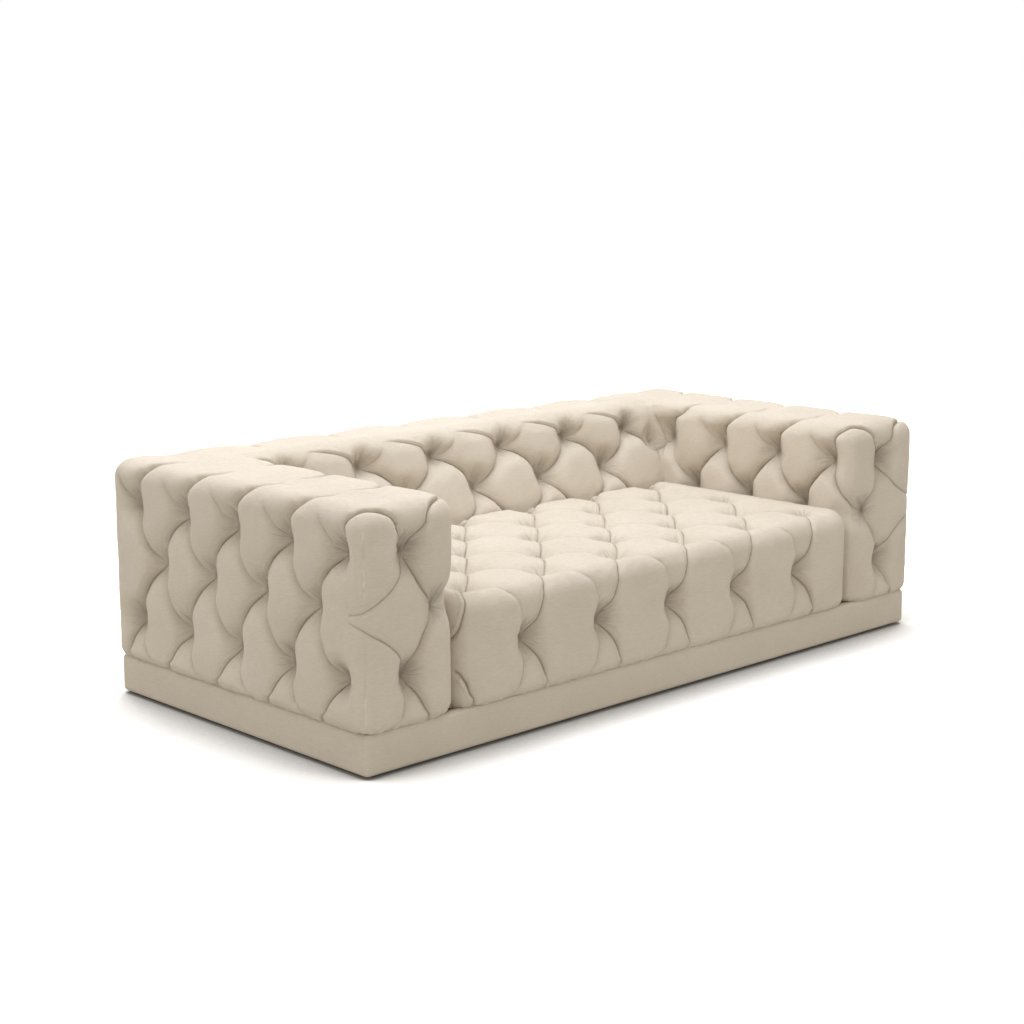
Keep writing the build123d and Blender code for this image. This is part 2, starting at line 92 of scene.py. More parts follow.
def finish_nodes(material, names):
    """Gives carried-over CAD pieces their finish."""
    for name in names:
        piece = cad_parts[name]
        if not piece.material_slots:
            piece.data.materials.append(material)
        for holder in piece.material_slots:
            holder.material = material


grain_scale = 9.0
pore_scale = 22.0
pore_depth = 0.0004


def grained_wood(name, low, high, stretch, roughness):
    """Wood with its grain drawn out along one axis and fine pores across it."""
    material, tree, shader = new_material(name)
    grain = stretched_noise(tree, stretch, grain_scale, 6.0)
    tree.links.new(two_tone(tree, grain.outputs["Fac"], low, high), shader.inputs["Base Color"])
    pores = stretched_noise(tree, tuple(4 * share for share in stretch), pore_scale, 3.0)
    bumped(tree, shader, pores.outputs["Fac"], pore_depth)
    shader.inputs["Roughness"].default_value = roughness
    return material


def sawn_three_ways(name, low, high, along, across, roughness):
    """One wood with its grain along x, along y and along z."""
    stretches = [tuple(along if i == axis else across for i in range(3)) for axis in range(3)]
    return [grained_wood(f"{name}_along_{letter}", low, high, stretch, roughness)
            for letter, stretch in zip("xyz", stretches)]


pine_along_x, pine_along_y, pine_along_z = sawn_three_ways(
    "pine", (0.46, 0.29, 0.15), (0.66, 0.47, 0.28), 1.0, 12.0, 0.62)
finish_nodes(pine_along_x, ["plinth_front_rail", "plinth_rear_rail", "plinth_glide_blocks"])
finish_nodes(pine_along_y, ["plinth_left_rail", "plinth_right_rail", "plinth_cross_rails"])

# Floor glides: turned nylon discs, nailed up through the dust cloth into their blocks. The dust cloth is thin
# black non-woven cloth, pulled flat over the underside of the plinth and stapled all round.
evenly = (1.0, 1.0, 1.0)


def patterned(name, low, high, noise, depth, roughness, metallic=0.0, specular=0.5):
    """A material whose colour and relief both follow one noise, given by its stretch, scale and detail."""
    material, tree, shader = new_material(name)
    pattern = stretched_noise(tree, *noise).outputs["Fac"]
    tree.links.new(two_tone(tree, pattern, low, high), shader.inputs["Base Color"])
    bumped(tree, shader, pattern, depth)
    for socket, value in (("Roughness", roughness), ("Metallic", metallic), ("Specular IOR Level", specular)):
        shader.inputs[socket].default_value = value
    return material


def drawn_steel(name, low, high, roughness):
    """Zinc-plated or drawn steel with fine streaks."""
    return patterned(name, low, high, ((1.0, 1.0, 6.0), 210.0, 3.0), 0.00015, roughness, metallic=1.0)


def matted_cloth(name, low, high, scale, depth):
    """Pressed fibres: felt, wadding and non-woven cloth."""
    return patterned(name, low, high, (evenly, scale, 8.0, 0.75), depth, 0.95, specular=0.2)


nylon = patterned("glide_nylon", (0.020, 0.019, 0.018), (0.045, 0.043, 0.041), (evenly, 160.0), 0.0002, 0.45)
plated_steel = drawn_steel("plated_steel", (0.52, 0.51, 0.48), (0.70, 0.69, 0.66), 0.34)
dust_cloth = matted_cloth("dust_cloth", (0.010, 0.010, 0.011), (0.030, 0.030, 0.032), 420.0, 0.0004)
finish_nodes(nylon, ["floor_glides"])
finish_nodes(plated_steel, ["glide_nails"])
finish_nodes(dust_cloth, ["dust_cover"])

# Frames: beech boards in boxed arms and back, pine rails under the seat, and plywood panels that close the
# arms and the outside of the back. Bolts hold the three frames together, and coach screws hold them to the
# plinth.
beech_along_x, beech_along_y, beech_along_z = sawn_three_ways(
    "beech", (0.56, 0.36, 0.21), (0.71, 0.51, 0.33), 1.5, 16.0, 0.55)
birch_plywood = grained_wood("birch_plywood", (0.68, 0.53, 0.36), (0.80, 0.67, 0.49), (7.0, 1.2, 7.0), 0.5)
for hand in ("left", "right"):
    finish_nodes(beech_along_z, [f"{hand}_arm_{post}_post" for post in ("front", "middle", "rear")])
    finish_nodes(beech_along_y, [f"{hand}_arm_{rail}_rail" for rail in ("bottom", "top")])
    finish_nodes(birch_plywood, [f"{hand}_arm_{side}_panel" for side in ("outer", "inner")])
    finish_nodes(pine_along_y, [f"seat_{hand}_rail"])
finish_nodes(pine_along_x, ["seat_front_rail", "seat_rear_rail"])
finish_nodes(pine_along_y, ["seat_stretchers"])
finish_nodes(pine_along_z, ["seat_corner_blocks"])
finish_nodes(beech_along_x, ["back_bottom_rail", "back_top_rail"])
finish_nodes(beech_along_z, ["back_end_posts", "back_stiles"])
finish_nodes(birch_plywood, ["back_rear_panel"])
finish_nodes(plated_steel, ["arm_bolts", "back_bolts", "plinth_coach_screws"])

# Suspension: zigzag springs hooked in steel clips along the seat rails, under a pad of grey felt. Straps of
# jute webbing cross the back from post to post.
spring_steel = drawn_steel("spring_steel", (0.16, 0.15, 0.14), (0.30, 0.29, 0.28), 0.38)
finish_nodes(spring_steel, ["seat_springs"])
finish_nodes(plated_steel, ["spring_clips"])
grey_felt = matted_cloth("grey_felt", (0.10, 0.10, 0.11), (0.27, 0.26, 0.26), 260.0, 0.0012)
finish_nodes(grey_felt, ["spring_felt"])


def calculated(tree, operation, *values):
    """One sum on patterns or plain numbers."""
    return add_node(tree, "ShaderNodeMath", list(enumerate(values)), operation=operation).outputs[0]


def thread_wave(tree, axis, pitch):
    """A sine across the threads that run past one axis, in object coordinates."""
    place = add_node(tree, "ShaderNodeTexCoord")
    split = add_node(tree, "ShaderNodeSeparateXYZ", [(0, place.outputs["Object"])])
    return calculated(tree, "SINE", calculated(tree, "MULTIPLY", split.outputs[axis], 2 * pi / pitch))


def summed(tree, *parts):
    """Adds patterns up."""
    total = parts[0]
    for part in parts[1:]:
        total = calculated(tree, "ADD", total, part)
    return total


jute, jute_tree, jute_shader = new_material("jute_webbing")
jute_threads = summed(jute_tree, thread_wave(jute_tree, 0, 0.0045), thread_wave(jute_tree, 2, 0.004))
jute_hairs = stretched_noise(jute_tree, (1.0, 4.0, 4.0), 90.0, 5.0)
jute_tone = two_tone(jute_tree, jute_hairs.outputs["Fac"], (0.33, 0.22, 0.11), (0.52, 0.38, 0.21))
jute_tree.links.new(jute_tone, jute_shader.inputs["Base Color"])
bumped(jute_tree, jute_shader, jute_threads, 0.0006)
jute_shader.inputs["Roughness"].default_value = 0.9
finish_nodes(jute, ["back_webbing"])

# Foam: moulded and cut blocks under the tufted layer, glued to the panels, rails and felt. Polyester wadding
# rounds off the boards of the plinth.
foam = patterned("cut_foam", (0.72, 0.63, 0.42), (0.86, 0.79, 0.60), (evenly, 330.0, 3.0), 0.0009, 0.9)
finish_nodes(foam, ["left_arm_foam", "right_arm_foam", "seat_foam", "back_foam", "back_rear_foam"])
wadding = matted_cloth("polyester_wadding", (0.78, 0.78, 0.77), (0.92, 0.92, 0.91), 190.0, 0.0015)
finish_nodes(wadding, ["plinth_wadding"])

# Plinth cover: one band of the sofa's linen, pulled round the wadding and stapled underneath. Its upright
# corners are soft, its top and bottom edges turn in over the wadding, and it puckers a little all round.
plinth_half_x = 1.109
plinth_half_y = 0.531
plinth_low = 0.006
plinth_high = 0.1125
plinth_corner = 0.016
plinth_edge = 0.014
plinth_foot = 0.014
plinth_in = 0.020
band_step = 0.012
band_margin = 0.018
band_fold = 0.008
band_lip = 0.002
band_wall = 0.0035
broad_pucker = 0.0004
fine_pucker = 0.0003

linen_low = (0.738, 0.652, 0.528)
linen_high = (0.872, 0.786, 0.660)
# Painted shade: the dark colour laid into the linen along crisp pleats and round the tufts' pits.
painted_crease_shade_colour = (0.40, 0.32, 0.24, 1.0)
cloud_share = 0.35
slub_share = 0.7
thread_pitch = 0.0011
weave_depth = 0.0009
weave_strength = 0.9
wrinkle_depth = 0.040

linen, linen_tree, linen_shader = new_material("beige_linen")
slubs = stretched_noise(linen_tree, (1.0, 1.0, 7.0), 60.0, 5.0, 0.7)
cloud = stretched_noise(linen_tree, (1.0, 1.0, 1.6), 5.0, 3.0, 0.5)
linen_pattern = add_node(linen_tree, "ShaderNodeMix", [("Factor", cloud_share), ("A", slubs.outputs["Fac"]),
                                                       ("B", cloud.outputs["Fac"])], data_type="FLOAT")
linen_tone = two_tone(linen_tree, linen_pattern.outputs[0], linen_low, linen_high, 0.31, 0.69)


def mixed_colour(tree, factor, first, second, blend="MIX"):
    """Mixes two colours, each a plain one or a pattern."""
    colour_a, colour_b, colour_out = 6, 7, 2
    mix = add_node(tree, "ShaderNodeMix", [("Factor", factor), (colour_a, first), (colour_b, second)],
                   data_type="RGBA", blend_type=blend)
    return mix.outputs[colour_out]


def weighted(tree, *pairs):
    """Adds patterns up, each by its own share."""
    return summed(tree, *[calculated(tree, "MULTIPLY", pattern, share) for pattern, share in pairs])


def beside_pleat(centre, width):
    """A ridge along the pleats, centred so many centimetres off them and as strong as they are crisp."""
    shift = calculated(linen_tree, "SUBTRACT", pleat_off, centre)
    shift = calculated(linen_tree, "MULTIPLY", shift, 1 / width)
    fall = calculated(linen_tree, "MULTIPLY", calculated(linen_tree, "MULTIPLY", shift, shift), -1.0)
    return calculated(linen_tree, "MULTIPLY", calculated(linen_tree, "EXPONENT", fall), pleat_crisp)


# The covers carry marks of their pleats and tufts. They draw the line of each pleat, the lip beside it and
# the step where the lip ends as relief, and paint shade into the linen's colour along the line, the step and
# round each tuft.
mark_names = ("pleat_off", "pleat_crisp", "tuft_shade", "tuft_across", "tuft_along", "tuft_wrinkled",
              "tuft_number")
no_marks = (5.0, 0.0, 0.0, 5.0, 5.0, 0.0, 0.0)
pleat_off, pleat_crisp, tuft_shade, tuft_across, tuft_along, tuft_wrinkled, tuft_number = [
    add_node(linen_tree, "ShaderNodeAttribute", attribute_name=name).outputs["Fac"] for name in mark_names]
pleat_line = beside_pleat(0.0, 0.20)
pleat_lip = beside_pleat(0.85, 0.38)
pleat_step = beside_pleat(1.55, 0.25)
# Painted shade: the linen's colour is darkened along each crisp pleat's line and step, and round each tuft.
pleat_painted_shade = weighted(linen_tree, (pleat_line, 0.50), (pleat_step, 0.07))
pleat_painted_shade = calculated(linen_tree, "MAXIMUM", pleat_painted_shade, tuft_shade)
linen_colour = mixed_colour(linen_tree, pleat_painted_shade, linen_tone, painted_crease_shade_colour, "MULTIPLY")
linen_tree.links.new(linen_colour, linen_shader.inputs["Base Color"])

# Fine wrinkles run out from each tuft: noise that changes only with the direction from the tuft.
tuft_way = add_node(linen_tree, "ShaderNodeCombineXYZ", [("X", tuft_across), ("Y", tuft_along)])
tuft_way = add_node(linen_tree, "ShaderNodeVectorMath", [(0, tuft_way.outputs[0])], operation="NORMALIZE")
tuft_way = add_node(linen_tree, "ShaderNodeSeparateXYZ", [(0, tuft_way.outputs[0])])
tuft_way = add_node(linen_tree, "ShaderNodeCombineXYZ",
                    [("X", tuft_way.outputs[0]), ("Y", tuft_way.outputs[1]), ("Z", tuft_number)])
wrinkles = add_node(linen_tree, "ShaderNodeTexNoise", [("Vector", tuft_way.outputs[0]), ("Scale", 5.3),
                                                       ("Detail", 2.0), ("Roughness", 0.5)])
wrinkle_height = calculated(linen_tree, "MULTIPLY",
                            calculated(linen_tree, "SUBTRACT", wrinkles.outputs["Fac"], 0.5),
                            calculated(linen_tree, "MULTIPLY", tuft_wrinkled, wrinkle_depth))
pleat_height = weighted(linen_tree, (pleat_line, -0.0020), (pleat_lip, 0.0011), (pleat_step, -0.0006))
pleat_height = summed(linen_tree, pleat_height, wrinkle_height)
pleat_bump = add_node(linen_tree, "ShaderNodeBump", [("Height", pleat_height), ("Distance", 1.0),
                                                     ("Strength", 1.0)])

# The weave: even threads along every axis, and uneven slubs among them.
linen_threads = summed(linen_tree, *[thread_wave(linen_tree, axis, thread_pitch) for axis in range(3)])
linen_weave = add_node(linen_tree, "ShaderNodeMix", [("Factor", slub_share), ("A", linen_threads),
                                                     ("B", slubs.outputs["Fac"])], data_type="FLOAT")
weave_bump = add_node(linen_tree, "ShaderNodeBump",
                      [("Height", linen_weave.outputs[0]), ("Distance", weave_depth),
                       ("Strength", weave_strength), ("Normal", pleat_bump.outputs[0])])
linen_tree.links.new(weave_bump.outputs[0], linen_shader.inputs["Normal"])
for socket, value in (("Roughness", 0.88), ("Specular IOR Level", 0.18), ("Sheen Weight", 0.12),
                      ("Sheen Roughness", 0.55)):
    linen_shader.inputs[socket].default_value = value


def triangle_mesh(name, points, triangles, marks=None, normals=None):
    """A smooth linen object from arrays of points and triangles, with the marks of its pleats."""
    mesh = bpy.data.meshes.new(name)
    mesh.vertices.add(len(points))
    mesh.vertices.foreach_set("co", np.ascontiguousarray(points, np.float32).ravel())
    mesh.loops.add(3 * len(triangles))
    mesh.loops.foreach_set("vertex_index", np.ascontiguousarray(triangles, np.int32).ravel())
    mesh.polygons.add(len(triangles))
    mesh.polygons.foreach_set("loop_start", np.arange(0, 3 * len(triangles), 3, dtype=np.int32))
    mesh.update(calc_edges=True)
    mesh.shade_smooth()
    if marks is None:
        marks = np.tile(no_marks, (len(points), 1))
    for column, mark in enumerate(mark_names):
        layer = mesh.attributes.new(mark, "FLOAT", "POINT")
        layer.data.foreach_set("value", np.ascontiguousarray(marks[:, column], np.float32))
    if normals is not None:
        mesh.normals_split_custom_set_from_vertices(normals)
    mesh.materials.append(linen)
    piece = bpy.data.objects.new(name, mesh)
    bpy.context.scene.collection.objects.link(piece)
    return piece


def grid_quads(rows, columns):
    """Corner numbers of the quads of a grid that closes on itself along its columns."""
    here = np.arange(rows * columns).reshape(rows, columns)
    after = np.roll(here, -1, axis=1)
    return np.stack([here[:-1], after[:-1], after[1:], here[1:]], -1).reshape(-1, 4)


outline = []
straight_x = plinth_half_x - plinth_corner
straight_y = plinth_half_y - plinth_corner
corner_centres = [(straight_x, -straight_y), (straight_x, straight_y), (-straight_x, straight_y),
                  (-straight_x, -straight_y)]
for corner, (centre_x, centre_y) in enumerate(corner_centres):
    for turn in np.linspace(-pi / 2, 0, 12) + corner * pi / 2:
        outline.append((centre_x, centre_y, np.cos(turn), np.sin(turn)))
    next_x, next_y = corner_centres[(corner + 1) % 4]
    run = sqrt((next_x - centre_x) ** 2 + (next_y - centre_y) ** 2)
    steps = int(run / band_step)
    for share in np.arange(1, steps) / steps:
        outline.append((centre_x + (next_x - centre_x) * share, centre_y + (next_y - centre_y) * share,
                        np.cos(corner * pi / 2), np.sin(corner * pi / 2)))
outline = np.array(outline)
around = np.arange(len(outline)) / len(outline) * 2 * pi
quarter_turn = np.linspace(0, pi / 2, 7)
section = [(-plinth_in, plinth_low)]
section += [(-plinth_foot * (1 - np.sin(turn)), plinth_low + plinth_foot * (1 - np.cos(turn)))
            for turn in quarter_turn]
section += [(0.0, height) for height in np.linspace(plinth_low + band_margin, plinth_high - band_margin, 9)]
section += [(-plinth_edge * (1 - np.cos(turn)), plinth_high - plinth_edge * (1 - np.sin(turn)))
            for turn in quarter_turn]
section += [(-plinth_in - band_fold, plinth_high), (-plinth_in - band_fold, plinth_high - band_lip)]
section += [(-band_wall, plinth_high - plinth_edge), (-band_wall, plinth_low + plinth_foot),
            (-plinth_in, plinth_low + band_lip)]
rings = []
for inset, height in section:
    pucker = broad_pucker * np.sin(37 * around + 3 * height / 0.1) + fine_pucker * np.sin(83 * around + 1.3)
    outside = inset > -0.002
    reach = plinth_corner + inset + pucker * outside
    ring_x = outline[:, 0] + outline[:, 2] * reach
    ring_y = outline[:, 1] + outline[:, 3] * reach
    rings.append(np.stack([ring_x, ring_y, np.full(len(outline), height)], 1))
rings.append(rings[0])
band_points = np.concatenate(rings[:-1])
band_quads = grid_quads(len(rings), len(outline)) % len(band_points)
band_triangles = np.concatenate([band_quads[:, [0, 1, 2]], band_quads[:, [0, 2, 3]]])
plinth_band = triangle_mesh("plinth_band", band_points, band_triangles)
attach(plinth_band, "root")
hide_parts("plinth_cover")

# Arms and back: linen pulled over thick foam and tied down in blind tufts, with a pleat along each line
# between two tufts. The arms, the back and the corners are one run of tufting, sewn where the back meets the
# arms. The cover is drawn on squared-off faces first, and then rounded and pulled down.
cell = 0.005
body_x = 1.120
body_y = 0.542
body_top = 0.663
arm_inner = 0.800
back_front = 0.220
edge_round = 0.054
skirt_low = 0.105
skirt_round = 0.034
box_low = skirt_low + skirt_round - edge_round
corner_power = 2.5
lean_start = 0.405
lean_slope = 0.35
lean_bend = 0.02
lean_rear = 0.488
lean_side, lean_fade = 0.90, 0.08
seat_pitch = 0.2815
top_fold_shift = 0.026
scallop = 0.006
pinch_z = 0.395
pinch_at_tuft = 0.012
pinch_run = 0.05
pinch_all = 0.008
pinch_low = 0.003
give_reach, give_run = 0.10, 0.08
seam_blend = 0.03


def ease(share):
    """Goes smoothly from 0 to 1."""
    share = np.clip(share, 0, 1)
    return share * share * (3 - 2 * share)


def bell(value, centre, width):
    """A bell curve, 1 at its centre."""
    return np.exp(-((value - centre) / width) ** 2)


def unit(vectors):
    """Vectors brought to a length of 1."""
    return vectors / np.maximum(np.linalg.norm(vectors, axis=1), 1e-9)[:, None]


def lean_shift(side_x, y, z):
    """How far the back's lean pushes a place to the rear: fully at the back, not at the arms' outer sides."""
    rise = np.maximum(0, z - lean_start)
    rise = rise * rise / (rise + lean_bend)
    along = np.where(y < back_front, ease(y / back_front), ease((lean_rear - y) / (lean_rear - back_front)))
    return lean_slope * rise * along * ease((lean_side - side_x) / lean_fade)


def rounded_off(away):
    """Directions out of a rounded block whose upright corners are tighter than its top edges."""
    level = (np.abs(away[:, 0]) ** corner_power + np.abs(away[:, 1]) ** corner_power) ** (1 / corner_power)
    return away / np.maximum(np.hypot(level, away[:, 2]), 1e-9)[:, None]


def corner_give(x, y, corner_x, amount):
    """How far the padding gives way round an upright front corner, most at the corner itself."""
    return amount * ease((give_reach - np.hypot(x - corner_x, y + body_y)) / give_run)


def rounded_body(place):
    """Takes places on the squared-off body to its rounded, leaning shape."""
    side = np.where(place[:, 0] < 0, -1.0, 1.0)
    squared = place.copy()
    squared[:, 0] = np.abs(place[:, 0])
    x, y, z = squared.T
    core_z = np.clip(z, box_low + edge_round, body_top - edge_round)
    core_y = np.clip(y, -body_y + edge_round, body_y - edge_round)
    in_arm = np.stack([np.clip(x, arm_inner + edge_round, body_x - edge_round), core_y, core_z], 1)
    in_back = np.stack([np.clip(x, 0, body_x - edge_round), np.maximum(core_y, back_front + edge_round),
                        core_z], 1)
    from_arm = np.linalg.norm(squared - in_arm, axis=1)
    from_back = np.linalg.norm(squared - in_back, axis=1)
    arm_share = ease(0.5 + (from_back - from_arm) / seam_blend)[:, None]
    round_place = 0
    for core, share in ((in_arm, arm_share), (in_back, 1 - arm_share)):
        round_place = round_place + share * (core + edge_round * rounded_off(squared - core))

    x, y, z = round_place.T
    pinch = pinch_all + pinch_low * ease((0.40 - z) / 0.10) + pinch_at_tuft * bell(z, pinch_z, pinch_run)
    give = corner_give(x, y, arm_inner, pinch)
    x, y = x + give, y + give
    skirt = z < box_low + edge_round
    z = np.where(skirt, skirt_low + (z - box_low) * skirt_round / edge_round, z)
    waves = 0.5 + 0.5 * np.cos(2 * pi * (side * x - top_fold_shift) / seat_pitch + pi)
    z = z - scallop * waves * ease((y - 0.30) / 0.12) * ease((z - 0.60) / 0.05) * ease((1.05 - x) / 0.10)
    return np.stack([side * x, y + lean_shift(x, y, z), z], 1)


def even(first, last):
    """Grid lines a cell apart."""
    return np.linspace(first, last, max(1, round((last - first) / cell)) + 1)


def flat_patch(lines_a, lines_b, axis, value, outward):
    """One squared-off face as a grid of places and quads that look outward."""
    across = [i for i in range(3) if i != axis]
    grid_a, grid_b = np.meshgrid(lines_a, lines_b, indexing="ij")
    places = np.empty(grid_a.shape + (3,))
    places[..., across[0]] = grid_a
    places[..., across[1]] = grid_b
    places[..., axis] = value
    number = np.arange(grid_a.size).reshape(grid_a.shape)
    quads = np.stack([number[:-1, :-1], number[1:, :-1], number[1:, 1:], number[:-1, 1:]], -1).reshape(-1, 4)
    turns_out = 1 if axis != 1 else -1
    if turns_out * outward < 0:
        quads = quads[:, ::-1]
    return places.reshape(-1, 3), quads


def welded(patches):
    """Joins patches along the edges that they share."""
    places = np.concatenate([patch[0] for patch in patches])
    starts = np.cumsum([0] + [len(patch[0]) for patch in patches])[:-1]
    quads = np.concatenate([patch[1] + start for patch, start in zip(patches, starts)])
    keys = np.round(places * 1e5).astype(np.int64)
    kept, first, joined = np.unique(keys, axis=0, return_index=True, return_inverse=True)
    return places[first], joined.reshape(-1)[quads]


lines_z = even(box_low, body_top)
arm_lines_y = even(-body_y, back_front)
back_lines_y = even(back_front, body_y)
side_lines_y = np.concatenate([arm_lines_y, back_lines_y[1:]])
right_lines_x = even(arm_inner, body_x)
left_lines_x = -right_lines_x[::-1]
middle_lines_x = even(-arm_inner, arm_inner)
rear_lines_x = np.concatenate([left_lines_x, middle_lines_x[1:], right_lines_x[1:]])
body_patches = [flat_patch(rear_lines_x, lines_z, 1, body_y, 1),
                flat_patch(middle_lines_x, lines_z, 1, back_front, -1)]
for direction in (-1, 1):
    arm_lines_x = left_lines_x if direction < 0 else right_lines_x
    body_patches.append(flat_patch(side_lines_y, lines_z, 0, direction * body_x, direction))
    body_patches.append(flat_patch(arm_lines_y, lines_z, 0, direction * arm_inner, -direction))
    body_patches.append(flat_patch(arm_lines_x, lines_z, 1, -body_y, -1))
    for level, outward in ((body_top, 1), (box_low, -1)):
        body_patches.append(flat_patch(arm_lines_x, arm_lines_y, 2, level, outward))
for level, outward in ((body_top, 1), (box_low, -1)):
    body_patches.append(flat_patch(rear_lines_x, back_lines_y, 2, level, outward))
body_places, body_quads = welded(body_patches)

tuft_depth = 0.058
fold_depth = 0.030


class Tufting:
    """The tufts of one cover and the pleats between them, on its squared-off faces."""

    def __init__(self):
        self.pleats = []
        self.tufts = []

    def tuft(self, place, up):
        self.tufts.append((place, up))

    def pleat(self, places, start=1.0, stop=1.0, depth=fold_depth, crisp=1.0):
        """A pleat along places. start and stop are 1 at a tuft and 0 where the pleat runs out."""
        self.pleats.append((np.array(places, float), start, stop, depth, crisp))


def bowed(first, last, bow, count=24, late=1.0):
    """A line from first to last in a face, swelled aside by bow, more towards its end if late is above 1."""
    first, last = np.array(first), np.array(last)
    share = np.linspace(0, 1, count)[:, None]
    swell = share ** late
    return first + (last - first) * share + np.array(bow) * 4 * swell * (1 - swell)


def sideways(first, last, amount):
    """The step square to a line in a face, towards the face's right, as long as amount."""
    along = np.array(last, float) - np.array(first, float)
    step = np.array([-along[1], along[0]]) / np.linalg.norm(along) * amount
    return step * np.sign(step[0])


bow = 0.017
soft_bow = 0.027
soft_late = 1.5
soft_crisp = 0.25
top_depth = 0.018
cleft_depth = 0.032
foot_depth = 0.013
foot_fade = 0.15
soft_foot = 0.35
fold_end = 0.655
row_1, row_2, row_3 = 0.538, 0.394, 0.227
side_pitch = 0.2195
side_first = -0.437
upright = (0.0, 0.0, 1.0)
body = Tufting()


def arm_side(side, points):
    """Puts (y, z) points on the outer side of an arm."""
    return [(side * body_x, y, z) for y, z in points]


def unleaned(x, y, z):
    """Where a place at y was before the back's lean was put on."""
    flat_y = y
    for _ in range(12):
        flat_y = y - float(lean_shift(np.array([x]), np.array([flat_y]), np.array([z]))[0])
    return flat_y


def arm_inside(side, points):
    """Puts (y, z) points on the inner side of an arm."""
    return [(side * arm_inner, unleaned(arm_inner, y, z), z) for y, z in points]


def over_arm(side, y, reach):
    """A place on the way over an arm at one y: reach is counted from its outer top edge, inwards."""
    width = body_x - arm_inner
    if reach < 0:
        return (side * body_x, y, body_top + reach)
    if reach <= width:
        return (side * (body_x - reach), unleaned(body_x - reach, y, body_top), body_top)
    return arm_inside(side, [(y, body_top - (reach - width))])[0]


def round_outer_corner(side, reach, z):
    """A place round an arm's outer front corner: below 0 on the side, above it on the front."""
    return (side * body_x, -body_y - reach, z) if reach < 0 else (side * (body_x - reach), -body_y, z)


def round_inner_corner(side, reach, z):
    """A place round an arm's inner front corner: below 0 on the inner side, above it on the front."""
    return (side * arm_inner, -body_y - reach, z) if reach < 0 else (side * (arm_inner + reach), -body_y, z)


def front_corner(side, edge, inward, run, height):
    """A place on an arm's front corner: run goes from the side round to the front, height up over the top."""
    straight = side_first + body_y - edge_round
    bend = edge_round * pi / 2
    turn = np.clip((run - straight) / edge_round, 0, pi / 2)
    past = max(0, run - straight - bend)
    outward = np.array([-inward * np.cos(turn), -np.sin(turn)])
    core = np.array([edge + inward * (edge_round + past), side_first - min(run, straight)])
    tilt = np.clip((height - body_top + edge_round) / edge_round, 0, pi / 2)
    on_top = max(0, height - body_top + edge_round - bend)
    x, y = core + outward * (edge_round * np.cos(tilt) - on_top)
    return (side * x, y, min(height, body_top - edge_round) + edge_round * np.sin(tilt))


def on_front(points):
    """Puts (x, z) points on the front of the arms and the seat."""
    return [(x, -body_y, z) for x, z in points]


inner_1, inner_2 = 0.543, 0.396
low_row = [-0.332, -0.112, 0.108]
front_outer, front_inner, front_2 = 0.966, 0.866, 0.391
front_reach = 0.160
front_foot_depth = 0.012
side_foot, end_foot, front_foot = 0.077, 0.040, 0.060
fold_drift = 0.058
top_drift = 0.045
drift_run = 0.14
top_run = 0.09
short_swell = (0.014, -0.012)
short_depth = 0.016
short_crisp = 0.15
neck = 0.030
arch_middle, arch_half = 0.109, 0.086
arch_z, arch_rise = 0.606, 0.066
arch_depth = 0.011
curl_depth = 0.004

# The arch over a front corner of an arm, from the tuft on its side to the tuft on its front.
front_run = side_first + body_y - edge_round * (2 - pi / 2) + 0.154
arch = [(0.0, row_1)] + [(0.010 + 0.014 * share, row_1 + neck + neck * share) for share in (0.0, 0.5)]
arch += [(arch_middle + arch_half * np.cos(turn), arch_z + arch_rise * np.sin(turn))
         for turn in np.linspace(pi, 0, 30)]
arch += [(front_run - 0.012 - 0.018 * share, row_1 + neck + neck * share) for share in (0.5, 0.0)]
arch += [(front_run, row_1)]

